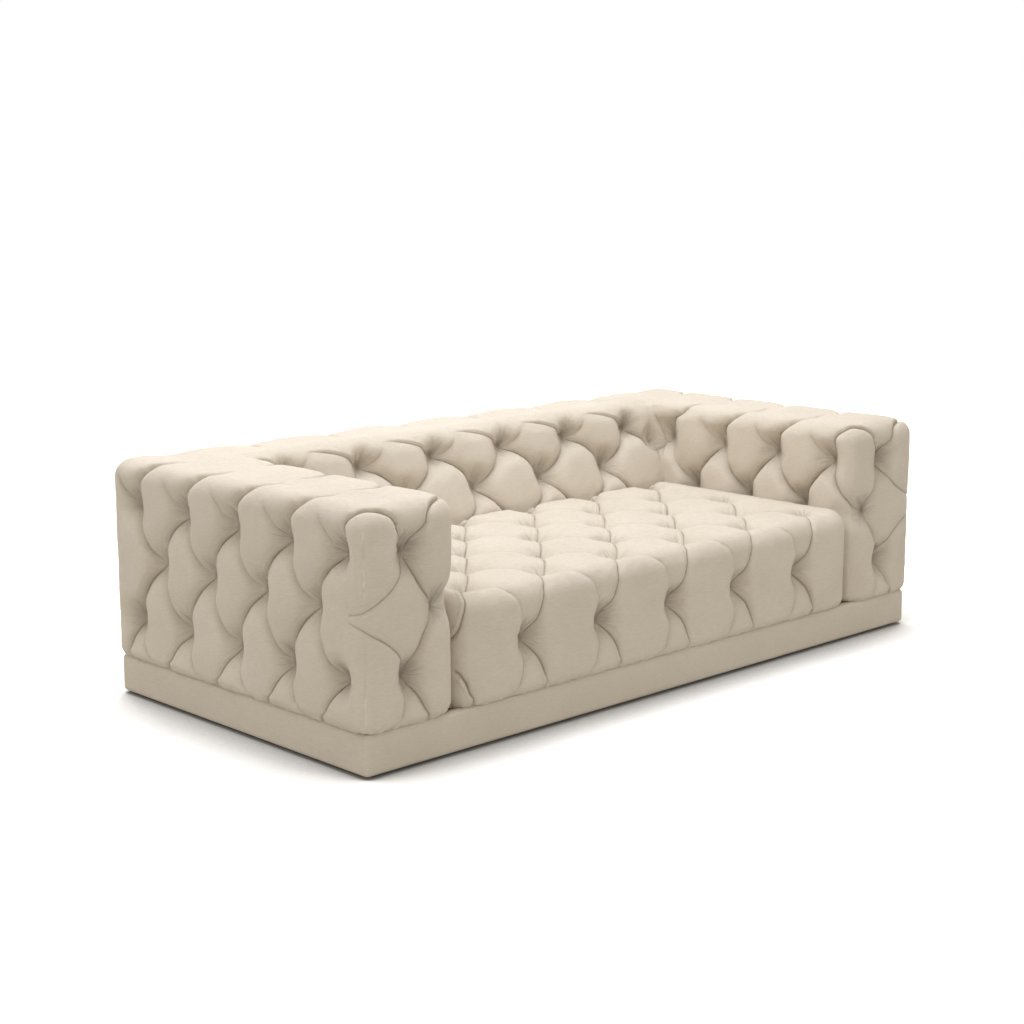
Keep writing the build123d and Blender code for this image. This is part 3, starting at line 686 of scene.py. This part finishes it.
for side in (-1, 1):
    # Outer side: three rows of tufts, with folds down to the hem and up over the top from both sides.
    first_row = [side_first + side_pitch * k for k in range(5)]
    second_row = [side_first + side_pitch * (k + 0.5) for k in range(4)]
    for y in first_row:
        body.tuft((side * body_x, y, row_1), upright)
        body.tuft((side * body_x, y, row_3), upright)
    for y in second_row:
        body.tuft((side * body_x, y, row_2), upright)
    for k in range(4):
        middle = (second_row[k], row_2)
        for upper, lower, sharp in (((first_row[k], row_1), middle, True),
                                    ((first_row[k + 1], row_1), middle, False),
                                    (middle, (first_row[k + 1], row_3), True),
                                    (middle, (first_row[k], row_3), False)):
            swell = sideways(upper, lower, bow if sharp else soft_bow)
            line = bowed(upper, lower, swell, late=1.0 if sharp else soft_late)
            body.pleat(arm_side(side, line), crisp=1.0 if sharp else soft_crisp)
    for k, y in enumerate(first_row):
        foot = bowed((y, row_3), (y + (side_foot if k < 4 else end_foot), box_low), (0.012, 0.0))
        body.pleat(arm_side(side, foot), 1, foot_fade, foot_depth, 1.0)
        if k > 0:
            foot = bowed((y, row_3), (y - side_foot, box_low), (0.010, 0.0))
            body.pleat(arm_side(side, foot), 1, foot_fade, foot_depth, soft_foot)
            over = [over_arm(side, y - fold_drift * ease((reach + 0.11) / drift_run)
                             - top_drift * ease((reach - 0.02) / top_run), reach)
                    for reach in np.linspace(row_1 - body_top, 0.12, 40)]
            body.pleat(over, 1, 0, cleft_depth if side < 0 else top_depth, 0.9)
        if 0 < k < 4:
            inner_reach = body_x - arm_inner + body_top - inner_1
            over = [over_arm(side, y - fold_drift * ease((0.43 - reach) / drift_run)
                             - 0.7 * top_drift * ease((0.31 - reach) / top_run), reach)
                    for reach in np.linspace(inner_reach, 0.15 if k < 3 else 0.22, 40)]
            body.pleat(over, 1, 0, cleft_depth if side > 0 else top_depth, 0.9)
        line = bowed((y, row_1), (y + 0.075, fold_end), short_swell)
        body.pleat(arm_side(side, line), 1, 0, short_depth, short_crisp)

    # Inner side: two rows of tufts, the lower one close over the seat.
    inner_row = first_row[:4]
    for y in inner_row:
        body.tuft(arm_inside(side, [(y, inner_1)])[0], upright)
    for y in low_row:
        body.tuft(arm_inside(side, [(y, inner_2)])[0], upright)
    for k in range(3):
        lower = (low_row[k], inner_2)
        for upper, crisp in (((inner_row[k], inner_1), 1.0), ((inner_row[k + 1], inner_1), 0.4)):
            line = bowed(upper, lower, sideways(upper, lower, bow * 0.7))
            body.pleat(arm_inside(side, line), crisp=crisp)
    line = bowed((inner_row[3], inner_1), (0.262, 0.472), (0.0, 0.01))
    body.pleat(arm_inside(side, line), 1, 0.4, crisp=0.8)
    for y in inner_row[:3]:
        line = bowed((y, inner_1), (y + 0.072, fold_end), short_swell)
        body.pleat(arm_inside(side, line), 1, 0, short_depth, short_crisp)

    # Front: three tufts, an arch over each corner, folds round the inner corner and curls round the outer.
    for x, z in ((front_outer, row_1), (front_inner, front_2), (front_outer, row_3)):
        body.tuft((side * x, -body_y, z), upright)
    for edge, inward in ((body_x, -1), (arm_inner, 1)):
        line = [front_corner(side, edge, inward, run, height) for run, height in arch]
        body.pleat(line, 1, 1, arch_depth, 1.0)
    for first, swell, depth, crisp in (((-0.105, inner_1), (-0.028, -0.020), 0.022, 0.8),
                                       ((front_reach, row_1), (0.014, -0.010), 0.022, 0.9),
                                       ((front_reach, row_3), (0.012, 0.008), 0.020, 0.5)):
        line = bowed(first, (0.066, front_2), swell)
        body.pleat([round_inner_corner(side, reach, z) for reach, z in line], 1, 1, depth, crisp)
    for start_z, stop_z, swell in ((row_1, 0.404, -0.022), (row_3, 0.384, 0.022)):
        curl = bowed((front_reach, start_z), (-0.056, stop_z), (0.026, swell))
        body.pleat([round_outer_corner(side, reach, z) for reach, z in curl], 1, 0.4, curl_depth, 0.9)
    for shift, crisp in ((-front_foot, 1.0 if side > 0 else 0.4), (front_foot, 0.4 if side > 0 else 1.0)):
        foot = bowed((side * front_outer, row_3), (side * front_outer + shift, box_low), (0.010, 0.0))
        body.pleat(on_front(foot), 1, foot_fade, front_foot_depth, crisp)

# Inside of the back: linen over a leaning wedge of foam, tied down in two rows of tufts at the seat's pitch.
# Its folds run down behind the seat and up over the top, and it is sewn to the arms in an upright seam.
back_1, back_2 = 0.592, 0.484
behind_seat = 0.345
back_foot, back_foot_depth = 0.10, 0.020
back_arc, back_arc_depth = 0.200, 0.005
back_short_depth = 0.014
back_top_depth = 0.017
seam_y, seam_depth = 0.206, 0.022
back_high = [seat_pitch * (k + 0.5) for k in range(-3, 3)]
back_low = [seat_pitch * k for k in range(-2, 3)]


def on_back(points):
    """Puts (x, z) points on the inside of the back."""
    return [(x, back_front, z) for x, z in points]


def over_back(x, reach):
    """A place on the way over the back at one x: reach is counted from its front top edge, rearwards."""
    depth = body_y - back_front
    if reach < 0:
        return (x, back_front, body_top + reach)
    if reach <= depth:
        return (x, back_front + reach, body_top)
    return (x, body_y, body_top - (reach - depth))


for x in back_high:
    body.tuft((x, back_front, back_1), upright)
for x in back_low:
    body.tuft((x, back_front, back_2), upright)
for x in back_low:
    for high, crisp in ((x - seat_pitch / 2, 1.0), (x + seat_pitch / 2, 0.4)):
        swell = sideways((high, back_1), (x, back_2), bow * 0.8)
        body.pleat(on_back(bowed((high, back_1), (x, back_2), swell)), crisp=crisp)
    for shift, rise, crisp in ((back_foot, 0.004, 1.0), (-back_foot, -0.004, 0.4)):
        line = bowed((x, back_2), (x + shift, behind_seat), (0.012, rise))
        body.pleat(on_back(line), 1, 0.3, back_foot_depth, crisp)
for side, crisp in ((1, 1.0), (-1, 0.4)):
    line = bowed((side * back_high[-1], back_1), (side * 0.792, 0.508), (0.004, side * 0.006))
    body.pleat(on_back(line), 1, 0.5, crisp=crisp)
for x in back_high:
    line = bowed((x, back_1), (max(x - back_arc, -0.79), 0.660), (-0.008, 0.017))
    body.pleat(on_back(line), 1, 0, back_arc_depth, 0.75)
    if x < 0.6:
        line = bowed((x, back_1), (x + 0.075, 0.648), (0.020, -0.012))
        body.pleat(on_back(line), 1, 0, back_short_depth, 0.2)
for x in back_high:
    over = [over_back(x + 0.035 - 0.02 * share, 0.385 - 0.195 * share) for share in np.linspace(0, 1, 24)]
    body.pleat(over, 0, 0, back_top_depth, 0.9)
for side in (-1, 1):
    seam = [(side * arm_inner, seam_y, z) for z in np.linspace(fold_end, 0.490, 24)]
    body.pleat(seam, 0.2, 0.4, seam_depth, 0.5)

# Outside of the back: linen over a thin sheet of foam on the plywood panel, tied down in three rows of tufts
# as on the arms' outer sides, at the seat's pitch.
rear_crisp = 0.35
rear_foot = 0.085
rear_first = [seat_pitch * k for k in range(-3, 4)]
rear_second = [seat_pitch * (k + 0.5) for k in range(-4, 4)]


def on_rear(points):
    """Puts (x, z) points on the outside of the back."""
    return [(x, body_y, z) for x, z in points]


for x in rear_first:
    body.tuft((x, body_y, row_1), upright)
    body.tuft((x, body_y, row_3), upright)
for x in rear_second:
    body.tuft((x, body_y, row_2), upright)
for x in rear_second:
    for other in (x - seat_pitch / 2, x + seat_pitch / 2):
        if abs(other) < 1.0:
            for level in (row_1, row_3):
                line = bowed((other, level), (x, row_2), sideways((other, level), (x, row_2), bow))
                body.pleat(on_rear(line), crisp=1.0 if (other < x) == (level > row_2) else rear_crisp)
for x in rear_first:
    for shift, crisp in ((rear_foot, 1.0), (-rear_foot, rear_crisp)):
        foot = bowed((x, row_3), (x + shift, box_low), (0.011, 0.0))
        body.pleat(on_rear(foot), 1, foot_fade, foot_depth, crisp)
    body.pleat(on_rear(bowed((x, row_1), (x, fold_end), (0.0, 0.0))), 1, 0.2, top_depth, 0.8)

sample_step = 0.0022
fade_share = 0.45
funnel_run = 0.030


def pleat_samples(tufting, shape):
    """Closely spaced places along all pleats of a cover, with their depth, crispness and direction there."""
    found = {"place": [], "depth": [], "crisp": [], "along": []}
    for places, start, stop, depth, crisp in tufting.pleats:
        steps = np.linalg.norm(np.diff(shape(places), axis=0), axis=1)
        length = np.concatenate([[0], np.cumsum(steps)])
        at = np.linspace(0, length[-1], max(4, int(length[-1] / sample_step)))
        laid = shape(np.stack([np.interp(at, length, places[:, i]) for i in range(3)], 1))
        fade = np.ones(len(at))
        funnels = np.zeros(len(at))
        for end, run in ((start, at), (stop, at[-1] - at)):
            if end < 1:
                fade *= end + (1 - end) * ease(run / (fade_share * at[-1]))
            else:
                funnels += (tuft_depth - depth) * np.exp(-run / funnel_run)
        found["place"].append(laid)
        found["depth"].append(np.minimum(depth * fade + funnels, tuft_depth))
        found["crisp"].append(crisp * fade ** 0.4)
        found["along"].append(unit(np.gradient(laid, axis=0)))
    return {key: np.concatenate(values) for key, values in found.items()}


def corner_normals(points, triangles):
    """Unit normals at the points of a mesh."""
    first, second, third = (points[triangles[:, i]] for i in range(3))
    across = np.cross(second - first, third - first)
    total = np.zeros_like(points)
    for axis in range(3):
        for corner in range(3):
            total[:, axis] += np.bincount(triangles[:, corner], across[:, axis], len(points))
    return total / np.maximum(np.linalg.norm(total, axis=1), 1e-12)[:, None]


def relaxed(values, fixed, pairs, load, sweeps):
    """Settles a stretched skin that is held at its fixed points, under an even load."""
    count = len(values)
    ends_a, ends_b = pairs.T
    neighbours = np.maximum(np.bincount(ends_a, minlength=count) + np.bincount(ends_b, minlength=count), 1)
    haste = 0.9990
    before, now, gain = values.copy(), values.copy(), 1.0
    for sweep in range(sweeps):
        pulled = np.bincount(ends_a, now[ends_b], count) + np.bincount(ends_b, now[ends_a], count)
        pulled = (pulled + load) / neighbours
        if sweep == 1:
            gain = 1 / (1 - haste ** 2 / 2)
        elif sweep > 1:
            gain = 1 / (1 - haste ** 2 * gain / 4)
        after = before + gain * (pulled - before)
        after[fixed] = values[fixed]
        before, now = now, after
    return now


def nearest_of(places, points):
    """The number of the place that is nearest to each point."""
    tree = KDTree(len(places))
    for number, place in enumerate(places):
        tree.insert(place, number)
    tree.balance()
    return np.array([tree.find(point)[1] for point in points])


def in_surface(vectors, normals):
    """What is left of vectors within a surface."""
    return vectors - normals * np.sum(vectors * normals, 1)[:, None]


end_slack = 0.004
dip_reach = 0.06
crown_full = 0.0015
skin_sweeps, crown_sweeps = 220, 260
crease_depth, crease_width = 0.0035, 0.0028
lip_height, lip_off, lip_width = 0.0016, 0.0090, 0.0055
step_depth, step_off = 0.0008, 0.0205
funnel_reach = 0.029
ripple_height = 0.0022
deepest, deepest_give = 0.042, 0.009
broad_unevenness, fine_unevenness = 0.0007, 0.0004
hem_top, hem_run = 0.155, 0.040
hem_swell, hem_rise, hem_gather = 0.008, 0.004, 0.0016
seam_shelter, pinch_shelter = 0.85, 0.55


def tufted(places, quads, tufting, shape, seed, lip_up, top_line, top_share):
    """Pulls a cover down into its tufts and pleats, and gives its points, triangles, marks and normals.

    lip_up is the way that the lips of the pleats face. On level tops, top_line widens the lines of the pleats
    and top_share is how much of the relief stays.
    """
    points = shape(places)
    normals = corner_normals(points, np.concatenate([quads[:, [0, 1, 2]], quads[:, [0, 2, 3]]]))

    # Each point is measured from its nearest pleat, and the points on a pleat are held there.
    samples = pleat_samples(tufting, shape)
    nearest = nearest_of(samples["place"], points)
    along = samples["along"][nearest]
    gap = in_surface(points - samples["place"][nearest], normals)
    lengthwise = np.sum(gap * along, 1)
    beyond = np.abs(lengthwise) > end_slack
    sideward = gap - along * lengthwise[:, None]
    off = np.where(beyond, np.linalg.norm(gap, axis=1), np.linalg.norm(sideward, axis=1))
    held = off < 0.5 * cell
    points = np.where((held & ~beyond)[:, None], points - sideward, points)

    # The skin is stretched from pleat to pleat, and swells into a pillow between them.
    pairs = np.concatenate([quads[:, [i, (i + 1) % 4]] for i in range(4)])
    pairs = np.unique(np.sort(pairs, 1), axis=0)
    sunk = samples["depth"][nearest]
    skin = np.where(held, sunk, sunk * np.exp(-off / dip_reach))
    skin = relaxed(skin, held, pairs, 0.0, skin_sweeps)
    crown = np.where(held, 0.0, 0.05 * np.minimum(off, dip_reach))
    crown = relaxed(crown, held, pairs, cell * cell, crown_sweeps)
    swell = (np.maximum(crown, 0) / crown_full) ** 0.8
    full = swell / (1 + swell ** 3) ** (1 / 3)
    depth = skin * (1 - full)

    # A crisp pleat has a crease, a lip along one side of it and a step beyond the lip. None of them is drawn
    # where the nearest pleat changes from one point to the next.
    across = np.cross(normals, along)
    lip_side = np.sign(np.sum(across * np.array(lip_up), 1))
    signed = np.sum(sideward * across, 1) * np.where(lip_side == 0, 1, lip_side)
    signed = np.where(beyond, np.sign(signed) * off, np.where(held, 0.0, signed))
    ends_a, ends_b = pairs.T
    edge_length = np.linalg.norm(points[ends_a] - points[ends_b], axis=1)
    jumps = np.abs(signed[ends_a] - signed[ends_b]) > 0.001 + 1.7 * edge_length
    between = np.zeros(len(points), bool)
    between[pairs[jumps].ravel()] = True
    crisp = samples["crisp"][nearest] * ease((0.026 - off) / 0.010) * ~beyond * ~between
    depth += crisp * crease_depth * bell(off, 0, crease_width)
    depth -= crisp * lip_height * bell(signed, lip_off, lip_width)
    depth += crisp * step_depth * bell(signed, step_off, lip_width)

    # Round each tuft the linen is drawn into a funnel, longer above it, and ripples towards it.
    x, y, z = points.T
    tuft_places = shape(np.array([place for place, up in tufting.tufts]))
    tuft_ups = np.array([up for place, up in tufting.tufts])
    closest = nearest_of(tuft_places, points)
    spoke = in_surface(points - tuft_places[closest], normals)
    reach = np.linalg.norm(points - tuft_places[closest], axis=1)
    up = unit(in_surface(tuft_ups[closest], normals))
    right = np.cross(up, normals)
    turn = np.arctan2(np.sum(spoke * right, 1), np.sum(spoke * up, 1))
    draw = np.random.default_rng(seed)
    phases = draw.uniform(0, 2 * pi, (len(tuft_places), 3))
    counts = draw.integers(7, 12, (len(tuft_places), 2))
    sizes = draw.uniform(0.6, 1.3, len(tuft_places))
    ripple = np.sin(counts[closest, 0] * turn + phases[closest, 0] + 6 * reach / 0.06)
    ripple += 0.6 * np.sin((counts[closest, 1] + 4) * turn + phases[closest, 1])
    ripple *= 0.6 + 0.6 * np.sin(2 * turn + phases[closest, 2])
    above = np.clip(np.cos(turn), 0, 1) ** 2
    drawn = reach * (1 - 0.42 * above)
    close = ease((0.084 - reach) / 0.050)
    depth += np.maximum(0, tuft_depth - depth) * np.exp(-(drawn / funnel_reach) ** 1.2) * close
    fade = np.exp(-drawn / 0.036) * (1 - bell(reach, 0, 0.016)) * close
    depth += ripple_height * sizes[closest] * ripple * fade * (1 + 0.7 * above)

    # The relief is held back where the back meets the arms, at the pinched front corners and on level tops.
    corner_gap = np.hypot(np.abs(x) - arm_inner, y - back_front - lean_slope * np.maximum(0, z - lean_start))
    sheltered = seam_shelter * ease((0.110 - corner_gap) / 0.090) * ease((0.53 - z) / 0.06)
    front_gap = np.sqrt((np.abs(x) - arm_inner - 0.03) ** 2 + (y + body_y) ** 2 + (z - pinch_z) ** 2)
    sheltered = np.maximum(sheltered, pinch_shelter * ease((0.13 - front_gap) / 0.09))
    depth *= (1 - sheltered) * (1 - (1 - top_share) * ease((normals[:, 2] - 0.6) / 0.3))
    too_deep = deepest + deepest_give * np.tanh((depth - deepest) / deepest_give)
    depth = np.where(depth > deepest, too_deep, depth)

    # Linen pulled by hand is never quite even, and it gathers along its hem.
    depth += broad_unevenness * np.sin(41 * x + 23 * y + 1.3) * np.sin(37 * z - 19 * y + 0.4 + 11 * x)
    depth += fine_unevenness * np.sin(97 * x - 61 * z) * np.sin(83 * y + 71 * z + 2.0)
    points = points - normals * depth[:, None]
    gathers = np.sin(146 * (x + y)) + 0.7 * np.sin(233 * (x - y) + 1.0) + 0.5 * np.sin(89 * (x - 0.6 * y))
    points[:, 2] -= ease((hem_top - z) / hem_run) * (hem_swell * full - hem_rise + hem_gather * gathers)

    # The marks that the linen reads, with lengths in centimetres.
    shade = 0.80 * bell(drawn, 0, 0.011)
    line_width = 1 + (top_line - 1) * ease((normals[:, 2] - 0.72) / 0.2)
    wrinkled = sizes[closest] * fade * (0.45 + 0.9 * above)
    marks = np.stack([np.clip(100 * signed, -5, 5) / line_width, np.clip(crisp, 0, 1), shade,
                      100 * np.sum(spoke * right, 1), 100 * np.sum(spoke * up, 1), wrinkled, closest], 1)

    # Each quad is split along its deeper diagonal, so that the creases aren't broken up.
    diagonal = depth[quads[:, 0]] + depth[quads[:, 2]] >= depth[quads[:, 1]] + depth[quads[:, 3]]
    split_a = quads[diagonal]
    split_b = quads[~diagonal]
    triangles = np.concatenate([split_a[:, [0, 1, 2]], split_a[:, [0, 2, 3]],
                                split_b[:, [0, 1, 3]], split_b[:, [1, 2, 3]]])
    return points, triangles, marks, corner_normals(points, triangles)


def part_of(points, triangles, marks, normals, chosen):
    """Cuts some triangles out of a cover as a piece of its own, and closes its cut ends."""
    kept = triangles[chosen]
    used, renumbered = np.unique(kept, return_inverse=True)
    kept = renumbered.reshape(-1, 3)
    points, marks, normals = points[used], marks[used], normals[used]
    edges = np.concatenate([kept[:, [0, 1]], kept[:, [1, 2]], kept[:, [2, 0]]])
    number = edges[:, 0] * len(points) + edges[:, 1]
    cut = edges[~np.isin(number, edges[:, 1] * len(points) + edges[:, 0])]
    for end in (-1, 1):
        loop = cut[np.sign(points[cut[:, 0], 0]) == end]
        if len(loop):
            centre = points[loop[:, 0]].mean(0)
            hub = np.full(len(loop), len(points))
            kept = np.concatenate([kept, np.stack([loop[:, 1], loop[:, 0], hub], 1)])
            points = np.concatenate([points, [centre]])
            marks = np.concatenate([marks, [no_marks]])
            facing = -end if abs(centre[0]) > arm_inner + 0.01 else end
            normals = np.concatenate([normals, [(facing, 0.0, 0.0)]])
    return points, kept, marks, normals


body_result = tufted(body_places, body_quads, body, rounded_body, seed=5, lip_up=(-0.25, 0.5, 0.83),
                     top_line=3.6, top_share=1.0)
centre_x = body_places[body_result[1]][:, :, 0].mean(1)
for name, chosen, replaced in (
        ("left_arm_upholstery", centre_x < -arm_inner,
         ["left_arm_cover", "left_arm_front_cover", "left_corner_cover"]),
        ("back_upholstery", np.abs(centre_x) <= arm_inner, ["back_cover", "back_outside_cover"]),
        ("right_arm_upholstery", centre_x > arm_inner,
         ["right_arm_cover", "right_arm_front_cover", "right_corner_cover"])):
    piece = triangle_mesh(name, *part_of(*body_result, chosen))
    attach(piece, "root")
    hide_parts(*replaced)

# Seat: one tight tufted cover over the foam block, from the plinth up over the front edge to the back. Its
# sides are pushed against the arms, and its rear edge goes down behind the back.
seat_half = 0.812
seat_rear = 0.240
seat_top = 0.405
side_round = 0.034
side_extra = edge_round - side_round
seat_end = seat_half + side_extra
seat_behind = seat_rear + side_extra
front_tuft_z = 0.247
front_row = front_tuft_z - seat_top
seat_rows = [front_row, 0.105, 0.260, 0.415, 0.570, 0.725]
last_column = 0.72
under_back, under_back_depth = 0.79, 0.018
seat_bow = 0.010
front_pleat, top_pleat = 0.010, 0.012
seat_give = 0.010


def rounded_seat(place):
    """Takes places on the squared-off seat to its rounded shape."""
    x, y, z = place.T
    core = np.stack([np.clip(x, -seat_end + edge_round, seat_end - edge_round),
                     np.clip(y, -body_y + edge_round, seat_behind - edge_round),
                     np.clip(z, box_low + edge_round, seat_top - edge_round)], 1)
    x, y, z = (core + edge_round * unit(place - core)).T
    past = np.maximum(np.abs(x) - (seat_end - edge_round), 0)
    x = np.sign(x) * (np.abs(x) - past + past * side_round / edge_round)
    past = np.maximum(y - (seat_behind - edge_round), 0)
    y = y - past + past * side_round / edge_round
    give = corner_give(np.abs(x), y, seat_half, seat_give)
    x, y = x - np.sign(x) * give, y + give
    skirt = z < box_low + edge_round
    z = np.where(skirt, skirt_low + (z - box_low) * skirt_round / edge_round, z)
    return np.stack([x, y, z], 1)


seat_lines_x = even(-seat_end, seat_end)
seat_lines_y = even(-body_y, seat_behind)
seat_lines_z = even(box_low, seat_top)
seat_patches = [flat_patch(seat_lines_x, seat_lines_y, 2, seat_top, 1),
                flat_patch(seat_lines_x, seat_lines_y, 2, box_low, -1),
                flat_patch(seat_lines_x, seat_lines_z, 1, -body_y, -1),
                flat_patch(seat_lines_x, seat_lines_z, 1, seat_behind, 1)]
for direction in (-1, 1):
    seat_patches.append(flat_patch(seat_lines_y, seat_lines_z, 0, direction * seat_end, direction))
seat_places, seat_quads = welded(seat_patches)
seat = Tufting()


def over_seat(points):
    """Puts (x, reach) points on the seat: below 0 on its front, above it on its top."""
    return [(x, -body_y, seat_top + reach) if reach < 0 else (x, -body_y + reach, seat_top)
            for x, reach in points]


def round_end(places):
    """Takes places that pass the seat's left end round its corner."""
    return [(max(x, -seat_end), y + max(0.0, -seat_end - x), z) for x, y, z in places]


def front_fold(x, aside=0.0):
    """The sharp fold from a front tuft at x up over the front edge to the next tuft on the top."""
    share = np.linspace(0, 1, 48)[:, None]
    pulls = np.array([(x - aside, front_row + 0.6 * aside), (x + 0.085, -0.055), (x + 0.025, 0.040),
                      (x + seat_pitch / 2, seat_rows[1])])
    return ((1 - share) ** 3 * pulls[0] + 3 * share * (1 - share) ** 2 * pulls[1]
            + 3 * share ** 2 * (1 - share) * pulls[2] + share ** 3 * pulls[3])


for number, reach in enumerate(seat_rows):
    columns = back_low if number % 2 == 0 else back_high
    for x in columns:
        seat.tuft(over_seat([(x, reach)])[0], upright if number == 0 else (0.0, 1.0, 0.0))
    if number + 1 == len(seat_rows):
        break
    for x in columns:
        for direction, crisp in ((1, 1.0), (-1, 0.2)):
            first, last = (x, reach), (x + direction * seat_pitch / 2, seat_rows[number + 1])
            if abs(last[0]) > last_column:
                continue
            line = bowed(first, last, sideways(first, last, bow if number == 0 else seat_bow), 48)
            if number == 0 and direction > 0:
                line = front_fold(x)
            depth = (front_pleat if number == 0 else top_pleat) * (1.0 if direction > 0 else 0.6)
            seat.pleat(over_seat(line), 1, 1, depth, crisp)
for x in back_low:
    for shift, swell, crisp in ((0.060, (0.020, 0.008), 1.0), (-0.070, (0.012, 0.0), 0.35)):
        foot = bowed((x, front_tuft_z), (x + shift, box_low), swell)
        seat.pleat(on_front(foot), 1, foot_fade, front_foot_depth, crisp)

# Two more folds come out from a tuft that is hidden by the left arm.
hidden_x = -3 * seat_pitch
seat.pleat(round_end(over_seat(front_fold(hidden_x, 0.05))), 0.6, 1, front_pleat, 1.0)
foot = bowed((hidden_x - 0.010, 0.205), (hidden_x + 0.085, box_low), (0.024, 0.014), 48)
seat.pleat(round_end(on_front(foot)), 0.6, foot_fade, front_foot_depth, 1.0)
for x in back_high:
    for shift in (-0.07, 0.07):
        line = bowed((x, seat_rows[-1]), (x + shift, under_back), (0.0, 0.0))
        seat.pleat(over_seat(line), 1, 0.3, under_back_depth, 0.5)

seat_result = tufted(seat_places, seat_quads, seat, rounded_seat, seed=9, lip_up=(-0.35, 0.6, 0.75),
                     top_line=1.2, top_share=0.65)
seat_upholstery = triangle_mesh("seat_upholstery", *seat_result)
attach(seat_upholstery, "root")
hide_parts("seat_cover")

# Studio: a white floor that keeps the sofa's soft shadow, both the real one and a painted shadow that darkens
# its colour near the sofa, light from a wide overhead panel and a pale room, and the camera where the
# photograph was taken from.
floor_size = 30.0
shadow_reach = 0.55
shade_steps = ((0.42, 0.36), (0.55, 0.68), (0.62, 1.00), (0.76, 1.20), (1.0, 1.6))
floor_bounce = (0.68, 0.66, 0.63, 1.0)


def seen_straight(tree):
    """1 for the rays that show the studio itself: from the camera, off gloss and through glass."""
    path = add_node(tree, "ShaderNodeLightPath")
    seen = path.outputs["Is Camera Ray"]
    for kind in ("Is Glossy Ray", "Is Transmission Ray"):
        seen = calculated(tree, "MAXIMUM", seen, path.outputs[kind])
    return seen


floor_mesh = bpy.data.meshes.new("studio_floor")
floor_mesh.from_pydata([(-floor_size, -floor_size, 0), (floor_size, -floor_size, 0),
                        (floor_size, floor_size, 0), (-floor_size, floor_size, 0)], [], [(0, 1, 2, 3)])
floor = bpy.data.objects.new("studio_floor", floor_mesh)
bpy.context.scene.collection.objects.link(floor)
floor_material = bpy.data.materials.new("white_floor")
floor_material.use_nodes = True
floor_tree = floor_material.node_tree
floor_tree.nodes.remove(floor_tree.nodes["Principled BSDF"])
# Painted shadow: seen straight, the floor's colour darkens with ambient occlusion close to the sofa.
floor_painted_shadow_occlusion = add_node(floor_tree, "ShaderNodeAmbientOcclusion", [("Distance", shadow_reach)], samples=16)
floor_painted_shadow_ramp = add_node(floor_tree, "ShaderNodeValToRGB", [("Fac", floor_painted_shadow_occlusion.outputs["AO"])])
for number, (place, tone) in enumerate(shade_steps):
    step = floor_painted_shadow_ramp.color_ramp.elements[number] if number < 2 else floor_painted_shadow_ramp.color_ramp.elements.new(place)
    step.position = place
    step.color = (tone, tone, tone, 1.0)
floor_tone = mixed_colour(floor_tree, seen_straight(floor_tree), floor_bounce, floor_painted_shadow_ramp.outputs["Color"])
floor_diffuse = add_node(floor_tree, "ShaderNodeBsdfDiffuse", [("Color", floor_tone)])
floor_tree.links.new(floor_diffuse.outputs[0], floor_tree.nodes["Material Output"].inputs["Surface"])
floor_mesh.materials.append(floor_material)

scene = bpy.context.scene
scene.view_settings.view_transform = "Standard"
room = bpy.data.worlds.new("pale_room")
scene.world = room
room.use_nodes = True
room_tree = room.node_tree
room_light = room_tree.nodes["Background"]
room_light.inputs["Color"].default_value = (1.0, 0.966, 0.908, 1.0)
room_light.inputs["Strength"].default_value = 0.80
room_white = add_node(room_tree, "ShaderNodeBackground", [("Color", (1.0, 1.0, 1.0, 1.0)), ("Strength", 1.0)])
room_mix = add_node(room_tree, "ShaderNodeMixShader",
                    [(0, seen_straight(room_tree)), (1, room_light.outputs[0]), (2, room_white.outputs[0])])
room_tree.links.new(room_mix.outputs[0], room_tree.nodes["World Output"].inputs["Surface"])

panel_light = bpy.data.lights.new("overhead_panel", "AREA")
panel_light.shape = "RECTANGLE"
panel_light.size = 3.6
panel_light.size_y = 2.4
panel_light.energy = 105.0
panel_light.color = (0.90, 0.925, 1.0)
panel = bpy.data.objects.new("overhead_panel", panel_light)
panel.location = (-0.25, 0.3, 3.2)
scene.collection.objects.link(panel)

camera_data = bpy.data.cameras.new("photo_camera")
camera_data.sensor_width = 36.0
camera_data.lens = 66.89
camera = bpy.data.objects.new("photo_camera", camera_data)
camera.location = (-3.880, -3.9015, 1.500)
camera.rotation_euler = (radians(79.053), 0.0, radians(-43.998))
scene.collection.objects.link(camera)
scene.camera = camera
